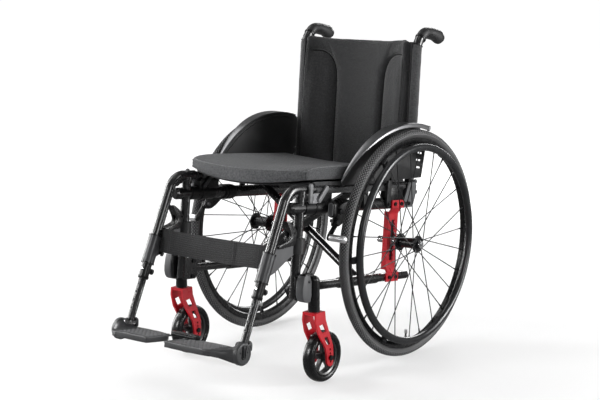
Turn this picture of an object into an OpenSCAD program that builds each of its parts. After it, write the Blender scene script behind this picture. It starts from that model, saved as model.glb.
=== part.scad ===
// Folding manual wheelchair: two side frames joined by a scissor crossbar under the
// seat, swing-away legrests with flip-up footplates, castors, quick-release rear wheels.
// Millimetres. X is across the chair (plus X is the sitter's left), minus Y is the front,
// Z is up, the floor is Z = 0.

/* [Seat] */
// Distance between the side frames, tube centre to tube centre
frame_width = 368; // [360:2:390]
// Thickness of the seat cushion at its corners
cushion_thickness = 23; // [16:1:30]
// Height of the backrest cloth
back_height = 345; // [300:1:345]

/* [Rear wheels] */
// Width of the rear tyre
tyre_width = 25; // [22:1:27]
// Tube thickness of the push rim
pushrim_tube = 19; // [16:1:19]
// Spokes in each rear wheel
spoke_count = 28; // [20:4:36]

/* [Footrests] */
// Width of each footplate
footplate_width = 156; // [130:1:156]
// Depth of each footplate
footplate_depth = 107; // [90:1:110]

/* [Hidden] */
$fn = 48;
axle_y = 196.9;                 // rear axle, measured from the middle of the length
axle_z = 295;                   // rear axle height = rear tyre radius
frame_x = frame_width / 2;      // plane of one side frame
tilt = 6;                       // side frames lean back by this pitch
low_z = 199;                    // height of the lower tube above the rear axle line
upper_t = 194;                  // upper tube above the lower tube
seat_t = 238.5;                 // seat tubes above the lower tube
upright_s = -403;               // front upright along the lower tube
castor_x = frame_x + 33;
castor_y = -366.8;              // swivel axis
castor_axle_y = -334.8;
castor_r = 63.8;
wheel_x = frame_x + 60.75;
cane_s = -452.3;                // corner of the legrest tube
cane_t = 240;
cane_a = 20;                    // slope of the legrest tube in the frame
post_tilt = 5.086;              // backrest posts
post_y = 102;
post_z = 597;
foot_y = -592.5;                // flip-up axis of the footplates
foot_z = 141;
foot_tilt = 8;
bar_s_a = -138;                 // crossbar A lies behind crossbar B
bar_s_b = -168;
cross_t = seat_t / 2;

// ---------- helpers ----------
module chair() { translate([0, axle_y, 0]) children(); }
module framed() { chair() translate([0, 0, low_z]) rotate([-tilt, 0, 0]) children(); }
module posted() { chair() translate([0, post_y, post_z]) rotate([-post_tilt, 0, 0]) children(); }
module footed() { chair() translate([frame_x, foot_y, foot_z]) rotate([-foot_tilt, 0, 0]) children(); }
module other() { mirror([1, 0, 0]) children(); }
module rod_x(x0, x1, y, z, r) { translate([x0, y, z]) rotate([0, 90, 0]) cylinder(r = r, h = x1 - x0); }
module rod_y(x, y0, y1, z, r) { translate([x, y0, z]) rotate([-90, 0, 0]) cylinder(r = r, h = y1 - y0); }
module rod_z(x, y, z0, z1, r) { translate([x, y, z0]) cylinder(r = r, h = z1 - z0); }
module box(x0, x1, y0, y1, z0, z1) { translate([x0, y0, z0]) cube([x1 - x0, y1 - y0, z1 - z0]); }
// outline in the side view, thickness across the chair
module plate_x(x0, x1, pts) { translate([x0, 0, 0]) rotate([90, 0, 90]) linear_extrude(x1 - x0) polygon(pts); }
// outline in the front view, length along the chair
module plate_y(y0, y1, pts) { translate([0, y1, 0]) rotate([90, 0, 0]) linear_extrude(y1 - y0) polygon(pts); }
// outline in the top view
module plate_z(z0, z1, pts) { translate([0, 0, z0]) linear_extrude(z1 - z0) polygon(pts); }
// round bend in the side view
module bend_x(x, y, z, R, r, a0, a1) {
  translate([x, y, z]) rotate([90, 0, 90]) rotate([0, 0, a0]) rotate_extrude(angle = a1 - a0, $fn = 96) translate([R, 0]) circle(r);
}
module bar(p, q, r) {
  v = q - p;
  translate(p) rotate([0, acos(v[2] / norm(v)), atan2(v[1], v[0])]) cylinder(r = r, h = norm(v));
}
// ring about an axis across the chair, its section given as [radius, x] points
module ring_x(x, y, z, pts) { translate([x, y, z]) rotate([0, 90, 0]) rotate_extrude($fn = 120) polygon(pts); }
// along the sloping legrest tube, l counted from its upper corner
module cane(l0, l1, r) { translate([frame_x, cane_s, cane_t]) rotate([180 - cane_a, 0, 0]) translate([0, 0, l0]) cylinder(r = r, h = l1 - l0); }
module arc_band(x0, x1, y, z, r0, r1, a0, a1) {
  translate([x0, y, z]) rotate([90, 0, 90]) rotate([0, 0, a0]) rotate_extrude(angle = a1 - a0, $fn = 120) translate([r0, 0]) square([r1 - r0, x1 - x0]);
}

// ---------- side frame ----------
module side_frame() {
  framed() difference() {
    union() {
      rod_y(frame_x, -440, 42, upper_t, 15);
      translate([frame_x, -440, upper_t]) rotate([90, 0, 0]) cylinder(r1 = 15, r2 = 11, h = 6);
      rod_y(frame_x, upright_s, 72, 0, 11);
      rod_z(frame_x, upright_s, -24, 221, 12.5);
      // plate that carries the castor bracket
      plate_x(frame_x - 13.5, frame_x - 9.5, [[-406, -27], [-364, -27], [-358, -18], [-358, 20], [-366, 29], [-406, 29]]);
    }
    rod_y(frame_x, -425, 43, upper_t, 12.8);
    rod_y(frame_x, upright_s, 69, 0, 8.8);
    rod_z(frame_x, upright_s, -21, 185, 10);
    rod_z(frame_x, upright_s, 195, 222, 10.45);
    for (t = [-19.5, 20]) rod_x(frame_x - 15, frame_x - 8, -374, t, 3.6);
  }
}
module castor_housing() {
  chair() difference() {
    union() {
      rod_z(castor_x, castor_y, 184.6, 260, 14.5);
      translate([castor_x, castor_y, 260]) cylinder(r1 = 14.5, r2 = 12, h = 6);
      translate([castor_x, castor_y, 266]) cylinder(r1 = 12, r2 = 7, h = 4);
    }
    rod_z(castor_x, castor_y, 184, 246, 8.05);
  }
}
module castor_bracket() {
  difference() {
    chair() union() {
      box(frame_x + 12.8, castor_x + 9, -418, -366.8, 211, 280);
      rod_z(frame_x + 27.4, -417.5, 211, 280, 14.6);
    }
    chair() rod_z(castor_x, castor_y, 200, 290, 14.6);
    framed() for (t = [-19.5, 20]) rod_x(frame_x, frame_x + 17.6, -374, t, 3.6);
    chair() box(frame_x, castor_x + 40, -450, -427, 268, 290);
  }
}
module axle_plate() {
  framed() difference() {
    union() {
      box(frame_x + 3, frame_x + 7, -31, 11, 27, 167.5);
      box(frame_x - 8, frame_x + 7, -31, -27, 20, 172);
      box(frame_x - 8, frame_x + 7, 7, 11, 20, 172);
      plate_y(-31, 11, [[frame_x + 7, 166], [frame_x + 9.5, 171], [frame_x + 19.4, 185.5], [frame_x + 19.4, 203], [frame_x + 15.4, 203], [frame_x + 15.4, 187], [frame_x + 5.5, 172.5], [frame_x + 3, 167]]);
      box(frame_x + 15.4, frame_x + 19.4, -36, 16.5, 182, 203);
      plate_y(-31, 11, [[frame_x + 3, 28], [frame_x + 7, 28.5], [frame_x + 15.4, 12], [frame_x + 15.4, -11], [frame_x + 11.4, -11], [frame_x + 11.4, 9], [frame_x + 4, 22]]);
      box(frame_x + 11.4, frame_x + 15.4, -37, 18, -11, 13);
    }
    box(frame_x + 2, frame_x + 8, -18.7, -1.3, 51.7, 142.3);
    rod_x(frame_x + 2, frame_x + 8, -10, 51.7, 8.7);
    rod_x(frame_x + 2, frame_x + 8, -10, 142.3, 8.7);
  }
}
// threaded receiver with its two nuts, and the quick-release axle in it
module wheel_axle() {
  chair() {
    difference() {
      union() {
        rod_x(frame_x - 34, wheel_x - 35.5, 0, axle_z, 8.5);
        translate([frame_x + 7.2, 0, axle_z]) rotate([0, 90, 0]) cylinder(r = 14, h = 7, $fn = 6);
        translate([frame_x - 7, 0, axle_z]) rotate([0, 90, 0]) cylinder(r = 14, h = 9.8, $fn = 6);
      }
      rod_x(frame_x - 35, wheel_x, 0, axle_z, 6.4);
    }
    difference() {
      union() {
        rod_x(frame_x - 36, wheel_x + 36, 0, axle_z, 6.35);
        rod_x(wheel_x + 34.6, wheel_x + 39, 0, axle_z, 9.5);
      }
      rod_x(wheel_x + 20, wheel_x + 40, 0, axle_z, 4.05);
    }
  }
}
module axle_button() { chair() rod_x(wheel_x + 25, wheel_x + 42, 0, axle_z, 4); }
module back_bracket() {
  difference() {
    union() {
      framed() plate_x(frame_x + 15.3, frame_x + 19.6, [[17.3, 183], [52, 183], [60, 190], [68, 214], [70, 240], [64, 248], [40, 248], [30, 236], [17.3, 206]]);
      framed() plate_x(frame_x - 19.6, frame_x - 15.3, [[17.3, 183], [52, 183], [60, 190], [68, 214], [70, 240], [64, 248], [40, 248], [30, 236], [17.3, 206]]);
      posted() rod_z(frame_x, 0, -196, -160, 17.5);
      framed() for (p = [[66, 250], [70, 222]]) rod_x(frame_x + 15.3, frame_x + 19.6, p[0], p[1], 5.5);
    }
    posted() rod_z(frame_x, 0, -230, -100, 12.55);
    framed() for (p = [[66, 250], [70, 222]]) rod_x(frame_x + 15, frame_x + 20, p[0], p[1], 2.6);
  }
}
module back_post() {
  posted() difference() {
    union() {
      rod_z(frame_x, 0, -206, 187.2, 12.35);
      bend_x(frame_x, 45, 185.2, 45, 12.5, 83.1, 180);
      translate([frame_x, 50.4, 229.87]) rotate([-96.9, 0, 0]) translate([0, 0, -2]) cylinder(r = 12.35, h = 64);
    }
    rod_z(frame_x, 0, -207, 180, 10.5);
  }
}
module push_grip() {
  posted() difference() {
    union() {
      bend_x(frame_x, 45, 185.2, 45, 16.5, 83.1, 142);
      translate([frame_x, 50.4, 229.87]) rotate([-96.9, 0, 0]) translate([0, 0, -2]) cylinder(r = 16.35, h = 68);
      translate([frame_x, 50.4, 229.87]) rotate([-96.9, 0, 0]) translate([0, 0, 66]) cylinder(r1 = 16.35, r2 = 12.5, h = 6);
    }
    bend_x(frame_x, 45, 185.2, 45, 12.6, 80, 145);
    translate([frame_x, 50.4, 229.87]) rotate([-96.9, 0, 0]) translate([0, 0, -2]) cylinder(r = 12.75, h = 64.4);
  }
}
guard_y = 5;
guard_z = 293;
guard_r = 312;
module side_guard() {
  difference() {
    union() {
      chair() plate_x(frame_x + 19.8, frame_x + 22.3, concat(
        [[112, 449], [130, 518], [127, 545], [114, 572]],
        [for (a = [73 : 3 : 142]) [guard_y + (guard_r - 1) * cos(a), guard_z + (guard_r - 1) * sin(a)]],
        [[-236, 485]]));
      chair() arc_band(frame_x + 19.8, wheel_x - 4, guard_y, guard_z, guard_r - 3, guard_r, 73, 142);
      chair() bend_x(wheel_x - 4, guard_y, guard_z, guard_r - 1.5, 2.6, 73, 142);
      // legs down to the upper tube
      framed() box(frame_x + 15.4, frame_x + 22.3, -168, -150, 184, 262);
      framed() box(frame_x + 15.4, frame_x + 22.3, -66, -48, 184, 262);
    }
    chair() for (p = [[106, 515], [99, 497], [97, 478]]) translate([frame_x + 18, p[0], p[1]]) rotate([-12, 0, 0]) {
      box(0, 6, -9, 9, -2.4, 2.4);
      rod_x(0, 6, -9, 0, 2.4);
      rod_x(0, 6, 9, 0, 2.4);
    }
    framed() for (s = [-159, -57]) rod_x(frame_x + 15, frame_x + 26, s, upper_t, 3.1);
  }
}
// seat tube rests (open at the top) and the brake mount, all clamped on the upper tube
module tube_clamps() {
  framed() difference() {
    union() {
      box(frame_x - 17, frame_x + 17, -336, -272, 177, 214);
      box(frame_x - 17, frame_x + 17, -336, -318, 210, 238);
      box(frame_x - 17, frame_x + 17, -290, -272, 210, 238);
    }
    rod_y(frame_x, -340, -268, upper_t, 15.05);
    rod_y(frame_x, -340, -268, seat_t, 11.35);
    box(frame_x - 20, frame_x + 20, -340, -268, 176, 183.5);
  }
  framed() difference() {
    box(frame_x - 15, frame_x + 14.6, -44, 16, 199, 238);
    rod_y(frame_x, -46, 18, upper_t, 15.05);
    rod_y(frame_x, -46, 18, seat_t, 11.35);
  }
  framed() difference() {
    union() {
      box(frame_x - 17, frame_x + 23, -262, -222, 177, 211);
      plate_x(frame_x + 22, frame_x + 28, [[-304, 152], [-296, 147], [-268, 147], [-222, 172], [-222, 208], [-230, 214], [-272, 204], [-292, 190]]);
      rod_x(frame_x + 26, frame_x + 35, -290.3, 159.5, 4);
      rod_x(frame_x + 26, frame_x + 35, -278.9, 184.9, 4);
    }
    rod_y(frame_x, -265, -220, upper_t, 15.05);
  }
}
module bolt_x(x, y, z, r, h, side) {
  difference() {
    rod_x(side > 0 ? x : x - h, side > 0 ? x + h : x, y, z, r);
    translate([side > 0 ? x + h - 1.6 : x - h - 1, y, z]) rotate([0, 90, 0]) cylinder(r = r * 0.5, h = 2.6, $fn = 6);
  }
}
module frame_bolts() {
  framed() {
    for (s = [-24, 5]) bolt_x(frame_x + 19.5, s, 193, 5, 3.2, 1);
    for (s = [-24, 5]) bolt_x(frame_x + 15.5, s, 1, 5, 3.2, 1);
    for (s = [26, 38]) bolt_x(frame_x + 19.7, s, 193, 5, 3.2, 1);
    for (s = [-159, -57]) bolt_x(frame_x + 22.4, s, upper_t, 5, 3, 1);
    for (t = [-19.5, 20]) {
      bolt_x(frame_x - 13.6, -374, t, 6, 3.6, -1);
      rod_x(frame_x - 13.6, frame_x + 17, -374, t, 3.5);
    }
  }
}

// ---------- brakes ----------
module brake_lever() {
  framed() {
    difference() {
      union() {
        rod_x(frame_x + 28.4, frame_x + 34.4, -278.9, 184.9, 8.5);
        plate_x(frame_x + 28.4, frame_x + 34.4, [[-279, 193.4], [-274, 178], [-300, 182], [-306, 188], [-306, 197]]);
        // finger knob
        box(frame_x + 20, frame_x + 42, -318, -304, 181, 201);
        translate([frame_x + 31, -311, 201]) rotate([90, 0, 0]) cylinder(r = 11, h = 14, center = true);
        translate([frame_x + 31, -311, 181]) rotate([90, 0, 0]) cylinder(r = 11, h = 14, center = true);
      }
      rod_x(frame_x + 20, frame_x + 40, -278.9, 184.9, 4.05);
    }
  }
}
module brake_arm() {
  framed() difference() {
    union() {
      rod_x(frame_x + 28.4, frame_x + 34.4, -290.3, 159.5, 8);
      plate_x(frame_x + 28.4, frame_x + 34.4, [[-282.5, 162], [-297, 163], [-325, 126], [-324, 116], [-312, 116]]);
      rod_x(frame_x + 28.4, frame_x + 34.4, -317.5, 122.5, 9);
      rod_x(frame_x + 34, frame_x + 86, -317.5, 122.5, 9);
    }
    rod_x(frame_x + 20, frame_x + 40, -290.3, 159.5, 4.05);
  }
}

// ---------- rear wheel ----------
tyre_r = tyre_width / 2;
module tyre() {
  chair() translate([wheel_x, 0, axle_z]) rotate([0, 90, 0]) difference() {
    rotate_extrude($fn = 144) translate([axle_z - tyre_r, 0]) circle(tyre_r);
    cylinder(r = 273.2, h = 60, center = true, $fn = 144);
  }
}
module rim() {
  chair() ring_x(wheel_x, 0, axle_z, [[257, -5], [259, -7.5], [266, -9.5], [272.9, -10.2], [272.9, 10.2], [266, 9.5], [259, 7.5], [257, 5]]);
}
flange_x = 26.8;
module spokes() {
  n = spoke_count / 2;
  turn = 720 / spoke_count;
  chair() translate([wheel_x, 0, axle_z]) for (side = [-1, 1]) for (i = [0 : n - 1]) {
    a = i * turn + (side > 0 ? turn / 2 : 0);
    b = a + (i % 2 == 0 ? 2 : -2) * turn;
    bar([side * (i % 2 == 0 ? flange_x + 3.8 : flange_x - 3.5), 19 * cos(a), 19 * sin(a)], [side * 2.5, 256.7 * cos(b), 256.7 * sin(b)], 1);
  }
}
module hub() {
  chair() difference() {
    union() {
      rod_x(wheel_x - 34, wheel_x + 34, 0, axle_z, 11.5);
      for (x = [-flange_x, flange_x]) rod_x(wheel_x + x - 2, wheel_x + x + 2, 0, axle_z, 22.5);
      rod_x(wheel_x - 24, wheel_x + 24, 0, axle_z, 13);
    }
    rod_x(wheel_x - 40, wheel_x + 40, 0, axle_z, 6.4);
  }
}
pushrim_x = wheel_x + 25;
pushrim_r = 251;
module pushrim() {
  chair() {
    translate([pushrim_x, 0, axle_z]) rotate([0, 90, 0]) rotate_extrude($fn = 144) translate([pushrim_r, 0]) circle(pushrim_tube / 2);
    for (a = [0 : 60 : 300]) translate([0, 0, axle_z]) rotate([a, 0, 0]) box(wheel_x + 10.6, pushrim_x - 6.5, 245, 267, -8, 8);
  }
}

// ---------- castor ----------
module fork_arm() {
  difference() {
    plate_x(0, 5, [[-385.2, 182], [-387, 163], [-378, 131], [-352, 90], [-348.5, 70], [-348.3, 52], [-344, 45], [-336, 42], [-328, 44], [-324.5, 50], [-322.2, 73], [-322.5, 92], [-337, 132], [-347, 161], [-348.4, 182]]);
    plate_x(-1, 6, [[-374, 150], [-357, 153], [-346, 132], [-363, 129]]);
    plate_x(-1, 6, [[-356, 117], [-342, 118], [-333.5, 97], [-345, 96]]);
    for (z = [84, 74, 54]) rod_x(-1, 6, castor_axle_y, z, 3.2);
  }
}
module castor_fork() {
  chair() difference() {
    union() {
      rod_z(castor_x, castor_y, 178, 244, 8);
      box(castor_x - 20.6, castor_x + 20.6, -385.2, -348.4, 175, 182);
      translate([castor_x + 20.5, 0, 182]) rotate([0, -2.67, 0]) translate([-5, 0, -182]) fork_arm();
      translate([castor_x - 20.5, 0, 182]) rotate([0, 2.67, 0]) translate([0, 0, -182]) fork_arm();
    }
    rod_x(castor_x - 40, castor_x + 40, castor_axle_y, castor_r, 4.05);
    difference() { box(castor_x - 60, castor_x + 60, -400, -330, 182, 186); rod_z(castor_x, castor_y, 180, 190, 8); }
  }
}
module castor_tyre() {
  chair() translate([castor_x, castor_axle_y, castor_r]) rotate([0, 90, 0]) difference() {
    rotate_extrude($fn = 120) translate([castor_r - 17.9, 0]) circle(17.9);
    cylinder(r = 36.2, h = 60, center = true, $fn = 96);
  }
}
module castor_hub() {
  chair() translate([castor_x, castor_axle_y, castor_r]) rotate([0, 90, 0]) difference() {
    union() {
      difference() { cylinder(r = 36, h = 26, center = true); cylinder(r = 30, h = 30, center = true); }
      cylinder(r = 11, h = 37, center = true);
      for (a = [0 : 72 : 288]) rotate([0, 0, a]) translate([10, -4, -7]) cube([21, 8, 14]);
    }
    cylinder(r = 4.05, h = 60, center = true);
  }
}
// axle bolt with nut, and the washer between fork and housing
module castor_axle() {
  chair() {
    rod_x(castor_x - 27, castor_x + 27, castor_axle_y, castor_r, 4);
    translate([castor_x + 26.6, castor_axle_y, castor_r]) rotate([0, 90, 0]) cylinder(r = 6.5, h = 4);
    translate([castor_x - 30.6, castor_axle_y, castor_r]) rotate([0, 90, 0]) cylinder(r = 6.5, h = 4, $fn = 6);
    difference() {
      rod_z(castor_x, castor_y, 182.1, 184.2, 13.5);
      rod_z(castor_x, castor_y, 180, 190, 8.05);
    }
  }
}

// ---------- legrest ----------
module hanger() {
  framed() difference() {
    union() {
      rod_y(frame_x, -419.3, -376, cane_t, 12.35);
      translate([frame_x, -376, cane_t]) rotate([-90, 0, 0]) cylinder(r1 = 12.35, r2 = 9.5, h = 4);
      bend_x(frame_x, -417.3, 190, 50, 12.5, 90, 160);
      cane(33, 165, 12.35);
      cane(160, 231, 16);
      cane(231, 270, 12.5);
      arc_band(frame_x - 5, frame_x + 5, -417.3, 190, 32, 41, 90, 135);
      rod_z(frame_x, upright_s, 221.4, 236, 14.5);
      rod_z(frame_x, upright_s, 197, 238, 10.4);
      // latch plate and the collar round the upright
      plate_x(frame_x - 4, frame_x + 4, [[-512, 104], [-470, 104], [-437, 118], [-431.8, 134], [-418.2, 134], [-418, 118], [-418, 84], [-432, 78], [-488, 44], [-522, 32]]);
      rod_z(frame_x, upright_s, 85, 122, 18.5);
      rod_x(frame_x - 4, frame_x + 4, -425, 136, 7);
      rod_x(frame_x - 12, frame_x + 12, -425, 136, 3);
      // bar for the calf strap
      bar([frame_x - 12, -487, 110], [frame_x - 12, -494, 39], 4);
      rod_x(frame_x - 15.9, frame_x, -488, 100, 3.9);
      rod_x(frame_x - 15.9, frame_x, -493.4, 46, 3.9);
    }
    rod_z(frame_x, upright_s, 60, 150, 12.55);
    cane(100, 271, 9.6);
  }
}
module release_lever() {
  framed() difference() {
    plate_x(frame_x - 10.5, frame_x + 10.5, [[-471, 112], [-462, 109], [-440, 121.5], [-431, 127], [-420, 130], [-417.5, 135], [-419, 141], [-425, 144.5], [-434, 148], [-443, 154.5], [-449, 163], [-455, 163], [-460, 150]]);
    plate_x(frame_x - 12, frame_x + 12, [[-463, 117], [-441, 129], [-435.5, 134], [-437, 141], [-445, 148], [-451, 155], [-455, 146]]);
    box(frame_x - 4.4, frame_x + 4.4, -436, -410, 110, 160);
    rod_x(frame_x - 20, frame_x + 20, -425, 136, 3.05);
  }
}
module extension() {
  difference() {
    union() {
      framed() difference() { cane(170, 383, 9.5); for (l = [286 : 21 : 349]) translate([frame_x, cane_s - sin(cane_a) * l, cane_t - cos(cane_a) * l]) rotate([90 - cane_a, 0, 0]) translate([0, 0, 3]) cylinder(r = 3, h = 10); }
      footed() rod_y(0, -12, 14, 0, 9.5);
    }
    footed() rod_y(0, -40, 40, 0, 4.05);
    framed() cane(169, 360, 6.5);
    footed() difference() { box(-30, 30, -30, 30, -40, 0); rod_y(0, -12, 14, 0, 9.5); }
  }
}
module footplate() {
  front = 13 - footplate_depth;
  inner = -footplate_width;
  footed() {
    difference() {
      union() {
        // tread plate with a raised rim at the front
        plate_z(-24, -11, [[inner, 13], [inner, front + 10], [inner + 6, front], [-30, front], [-18, front + 12], [-10, -50], [10, -44], [10, 13]]);
        // hinge base, lugs and pin
        box(-12, 19, -40, 22, -30, -11);
        for (y = [[-20, -12.4], [14.4, 22]]) {
          rod_y(0, y[0], y[1], 0, 9.5);
          box(-9.5, 9.5, y[0], y[1], -14, 0);
        }
        rod_y(0, -20, 22, 0, 4);
        // hub disc
        rod_x(10.2, 19, -18.2, -17.7, 27);
        intersection() { rod_x(-12, 19, -18.2, -17.7, 27); box(-20, 20, -60, 30, -50, -11); }
        // anti-slip ribs
        intersection() {
          for (k = [0 : 12]) translate([inner - 30 + 14 * k, front + 8, -11.4]) rotate([0, 0, -28]) cube([2.6, 130, 1.6]);
          box(inner + 6, -26, front + 8, 6, -12, -9);
        }
      }
      // slot in the hub disc
      rod_x(17, 20, -18.2, -17.7, 15);
    }
    box(16.5, 19, -34, -2.5, -21.7, -13.7);
  }
}

// ---------- scissor crossbar ----------
module crossbar_tube(s) { bar([frame_x, s, 0], [-frame_x, s, seat_t], 11); }
module crossbar_a() { color([0.04, 0.04, 0.04]) shape_crossbar_a(); }
module shape_crossbar_a() {
  framed() difference() {
    union() {
      rod_y(frame_x, -225, -65, 0, 13.5);
      crossbar_tube(bar_s_a);
      rod_y(0, -152.8, bar_s_a + 11, cross_t, 15);
      rod_y(0, -186, bar_s_a, cross_t, 6);
      rod_y(0, -186, -179.2, cross_t, 10);
      rod_y(-frame_x, -367, 45, seat_t, 11);
    }
    rod_y(frame_x, -230, -60, 0, 11.05);
    rod_y(-frame_x, -363, 46, seat_t, 8.8);
  }
}
module crossbar_b() { color([0.04, 0.04, 0.04]) shape_crossbar_b(); }
module shape_crossbar_b() {
  framed() difference() {
    union() {
      rod_y(-frame_x, -225, -65, 0, 13.5);
      other() crossbar_tube(bar_s_b);
      rod_y(0, -178.8, -153.2, cross_t, 15);
      rod_y(frame_x, -367, 45, seat_t, 11);
    }
    rod_y(-frame_x, -230, -60, 0, 11.05);
    rod_y(frame_x, -363, 46, seat_t, 8.8);
    rod_y(0, -200, -140, cross_t, 6.05);
  }
}

// ---------- soft parts ----------
module seat_cushion() { color([0.37, 0.375, 0.385]) shape_seat_cushion(); }
module shape_seat_cushion() {
  w = frame_x + 1;
  rear = [[150, 14], [120, 38], [80, 50], [40, 57]];
  framed() plate_z(262, 262 + cushion_thickness, concat(
    [for (i = [-8 : 8]) [i / 8 * w, -384 - 40 * (1 - (i / 8) * (i / 8))]],
    [[w, 8]], rear, [[0, 60]], [for (i = [3 : -1 : 0]) [-rear[i][0], rear[i][1]]], [[-w, 8]]));
}
module seat_sling() { color([0.1, 0.1, 0.1]) shape_seat_sling(); }
module shape_seat_sling() {
  w = frame_x - 1;
  framed() plate_y(-366, 22, concat(
    [for (i = [-10 : 10]) [i / 10 * w, 250.2 + 3 - 15 * max(0, 1 - pow(i / 9, 2))]],
    [for (i = [-10 : 10]) [-i / 10 * w, 250.2 - 15 * max(0, 1 - pow(i / 9, 2))]]));
}
module backrest() { color([0.17, 0.175, 0.18]) shape_backrest(); }
// hollow pad: its middle lies further back than its two sides
module shape_backrest() {
  w = frame_x - 12;
  framed() plate_z(266, 266 + back_height, concat(
    [for (i = [-10 : 10]) [i / 10 * w, 18 + 50 * pow(1 - i * i / 100, 0.8)]],
    [[w + 6, 24], [w + 6, 44]],
    [for (i = [10 : -1 : -10]) [i / 10 * (w - 4), 46 + 40 * pow(1 - i * i / 100, 0.8)]],
    [[-w - 6, 44], [-w - 6, 24]]));
}
module calf_strap() { color([0.08, 0.08, 0.08]) shape_calf_strap(); }
module shape_calf_strap() { framed() box(-frame_x + 18, frame_x - 18, -500, -497, 52, 106); }

// ---------- the parts ----------
module left_side_frame() { color([0.03, 0.03, 0.03]) side_frame(); }
module left_castor_housing() { color([0.05, 0.05, 0.05]) castor_housing(); }
module left_castor_bracket() { color([0.35, 0.36, 0.37]) castor_bracket(); }
module left_axle_plate() { color([0.7, 0.08, 0.1]) axle_plate(); }
module left_wheel_axle() { color([0.8, 0.8, 0.8]) wheel_axle(); }
module left_axle_button() { color([0.6, 0.6, 0.6]) axle_button(); }
module left_back_bracket() { color([0.35, 0.36, 0.37]) back_bracket(); }
module left_back_post() { color([0.03, 0.03, 0.03]) back_post(); }
module left_push_grip() { color([0.2, 0.2, 0.2]) push_grip(); }
module left_side_guard() { color([0.08, 0.08, 0.08]) side_guard(); }
module left_tube_clamps() { color([0.3, 0.3, 0.3]) tube_clamps(); }
module left_frame_bolts() { color([0.5, 0.5, 0.5]) frame_bolts(); }
module left_brake_lever() { color([0.1, 0.1, 0.1]) brake_lever(); }
module left_brake_arm() { color([0.75, 0.75, 0.75]) brake_arm(); }
module left_tyre() { color([0.12, 0.12, 0.12]) tyre(); }
module left_rim() { color([0.07, 0.07, 0.07]) rim(); }
module left_spokes() { color([0.7, 0.7, 0.7]) spokes(); }
module left_hub() { color([0.2, 0.2, 0.2]) hub(); }
module left_pushrim() { color([0.05, 0.05, 0.05]) pushrim(); }
module left_castor_fork() { color([0.7, 0.08, 0.1]) castor_fork(); }
module left_castor_tyre() { color([0.08, 0.08, 0.08]) castor_tyre(); }
module left_castor_hub() { color([0.15, 0.15, 0.15]) castor_hub(); }
module left_castor_axle() { color([0.7, 0.7, 0.7]) castor_axle(); }
module left_hanger() { color([0.04, 0.04, 0.04]) hanger(); }
module left_release_lever() { color([0.25, 0.25, 0.26]) release_lever(); }
module left_extension() { color([0.06, 0.06, 0.06]) extension(); }
module left_footplate() { color([0.2, 0.2, 0.21]) footplate(); }

module right_side_frame() { color([0.03, 0.03, 0.03]) other() side_frame(); }
module right_castor_housing() { color([0.05, 0.05, 0.05]) other() castor_housing(); }
module right_castor_bracket() { color([0.35, 0.36, 0.37]) other() castor_bracket(); }
module right_axle_plate() { color([0.7, 0.08, 0.1]) other() axle_plate(); }
module right_wheel_axle() { color([0.8, 0.8, 0.8]) other() wheel_axle(); }
module right_axle_button() { color([0.6, 0.6, 0.6]) other() axle_button(); }
module right_back_bracket() { color([0.35, 0.36, 0.37]) other() back_bracket(); }
module right_back_post() { color([0.03, 0.03, 0.03]) other() back_post(); }
module right_push_grip() { color([0.2, 0.2, 0.2]) other() push_grip(); }
module right_side_guard() { color([0.08, 0.08, 0.08]) other() side_guard(); }
module right_tube_clamps() { color([0.3, 0.3, 0.3]) other() tube_clamps(); }
module right_frame_bolts() { color([0.5, 0.5, 0.5]) other() frame_bolts(); }
module right_brake_lever() { color([0.1, 0.1, 0.1]) other() brake_lever(); }
module right_brake_arm() { color([0.75, 0.75, 0.75]) other() brake_arm(); }
module right_tyre() { color([0.12, 0.12, 0.12]) other() tyre(); }
module right_rim() { color([0.07, 0.07, 0.07]) other() rim(); }
module right_spokes() { color([0.7, 0.7, 0.7]) other() spokes(); }
module right_hub() { color([0.2, 0.2, 0.2]) other() hub(); }
module right_pushrim() { color([0.05, 0.05, 0.05]) other() pushrim(); }
module right_castor_fork() { color([0.7, 0.08, 0.1]) other() castor_fork(); }
module right_castor_tyre() { color([0.08, 0.08, 0.08]) other() castor_tyre(); }
module right_castor_hub() { color([0.15, 0.15, 0.15]) other() castor_hub(); }
module right_castor_axle() { color([0.7, 0.7, 0.7]) other() castor_axle(); }
module right_hanger() { color([0.04, 0.04, 0.04]) other() hanger(); }
module right_release_lever() { color([0.25, 0.25, 0.26]) other() release_lever(); }
module right_extension() { color([0.06, 0.06, 0.06]) other() extension(); }
module right_footplate() { color([0.2, 0.2, 0.21]) other() footplate(); }

left_side_frame();
left_castor_housing();
left_castor_bracket();
left_axle_plate();
left_wheel_axle();
left_axle_button();
left_back_bracket();
left_back_post();
left_push_grip();
left_side_guard();
left_tube_clamps();
left_frame_bolts();
left_brake_lever();
left_brake_arm();
left_tyre();
left_rim();
left_spokes();
left_hub();
left_pushrim();
left_castor_fork();
left_castor_tyre();
left_castor_hub();
left_castor_axle();
left_hanger();
left_release_lever();
left_extension();
left_footplate();
right_side_frame();
right_castor_housing();
right_castor_bracket();
right_axle_plate();
right_wheel_axle();
right_axle_button();
right_back_bracket();
right_back_post();
right_push_grip();
right_side_guard();
right_tube_clamps();
right_frame_bolts();
right_brake_lever();
right_brake_arm();
right_tyre();
right_rim();
right_spokes();
right_hub();
right_pushrim();
right_castor_fork();
right_castor_tyre();
right_castor_hub();
right_castor_axle();
right_hanger();
right_release_lever();
right_extension();
right_footplate();
crossbar_a();
crossbar_b();
seat_cushion();
seat_sling();
backrest();
calf_strap();
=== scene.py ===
import bpy, bmesh, math
from mathutils import Vector, Matrix
import numpy as np


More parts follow.
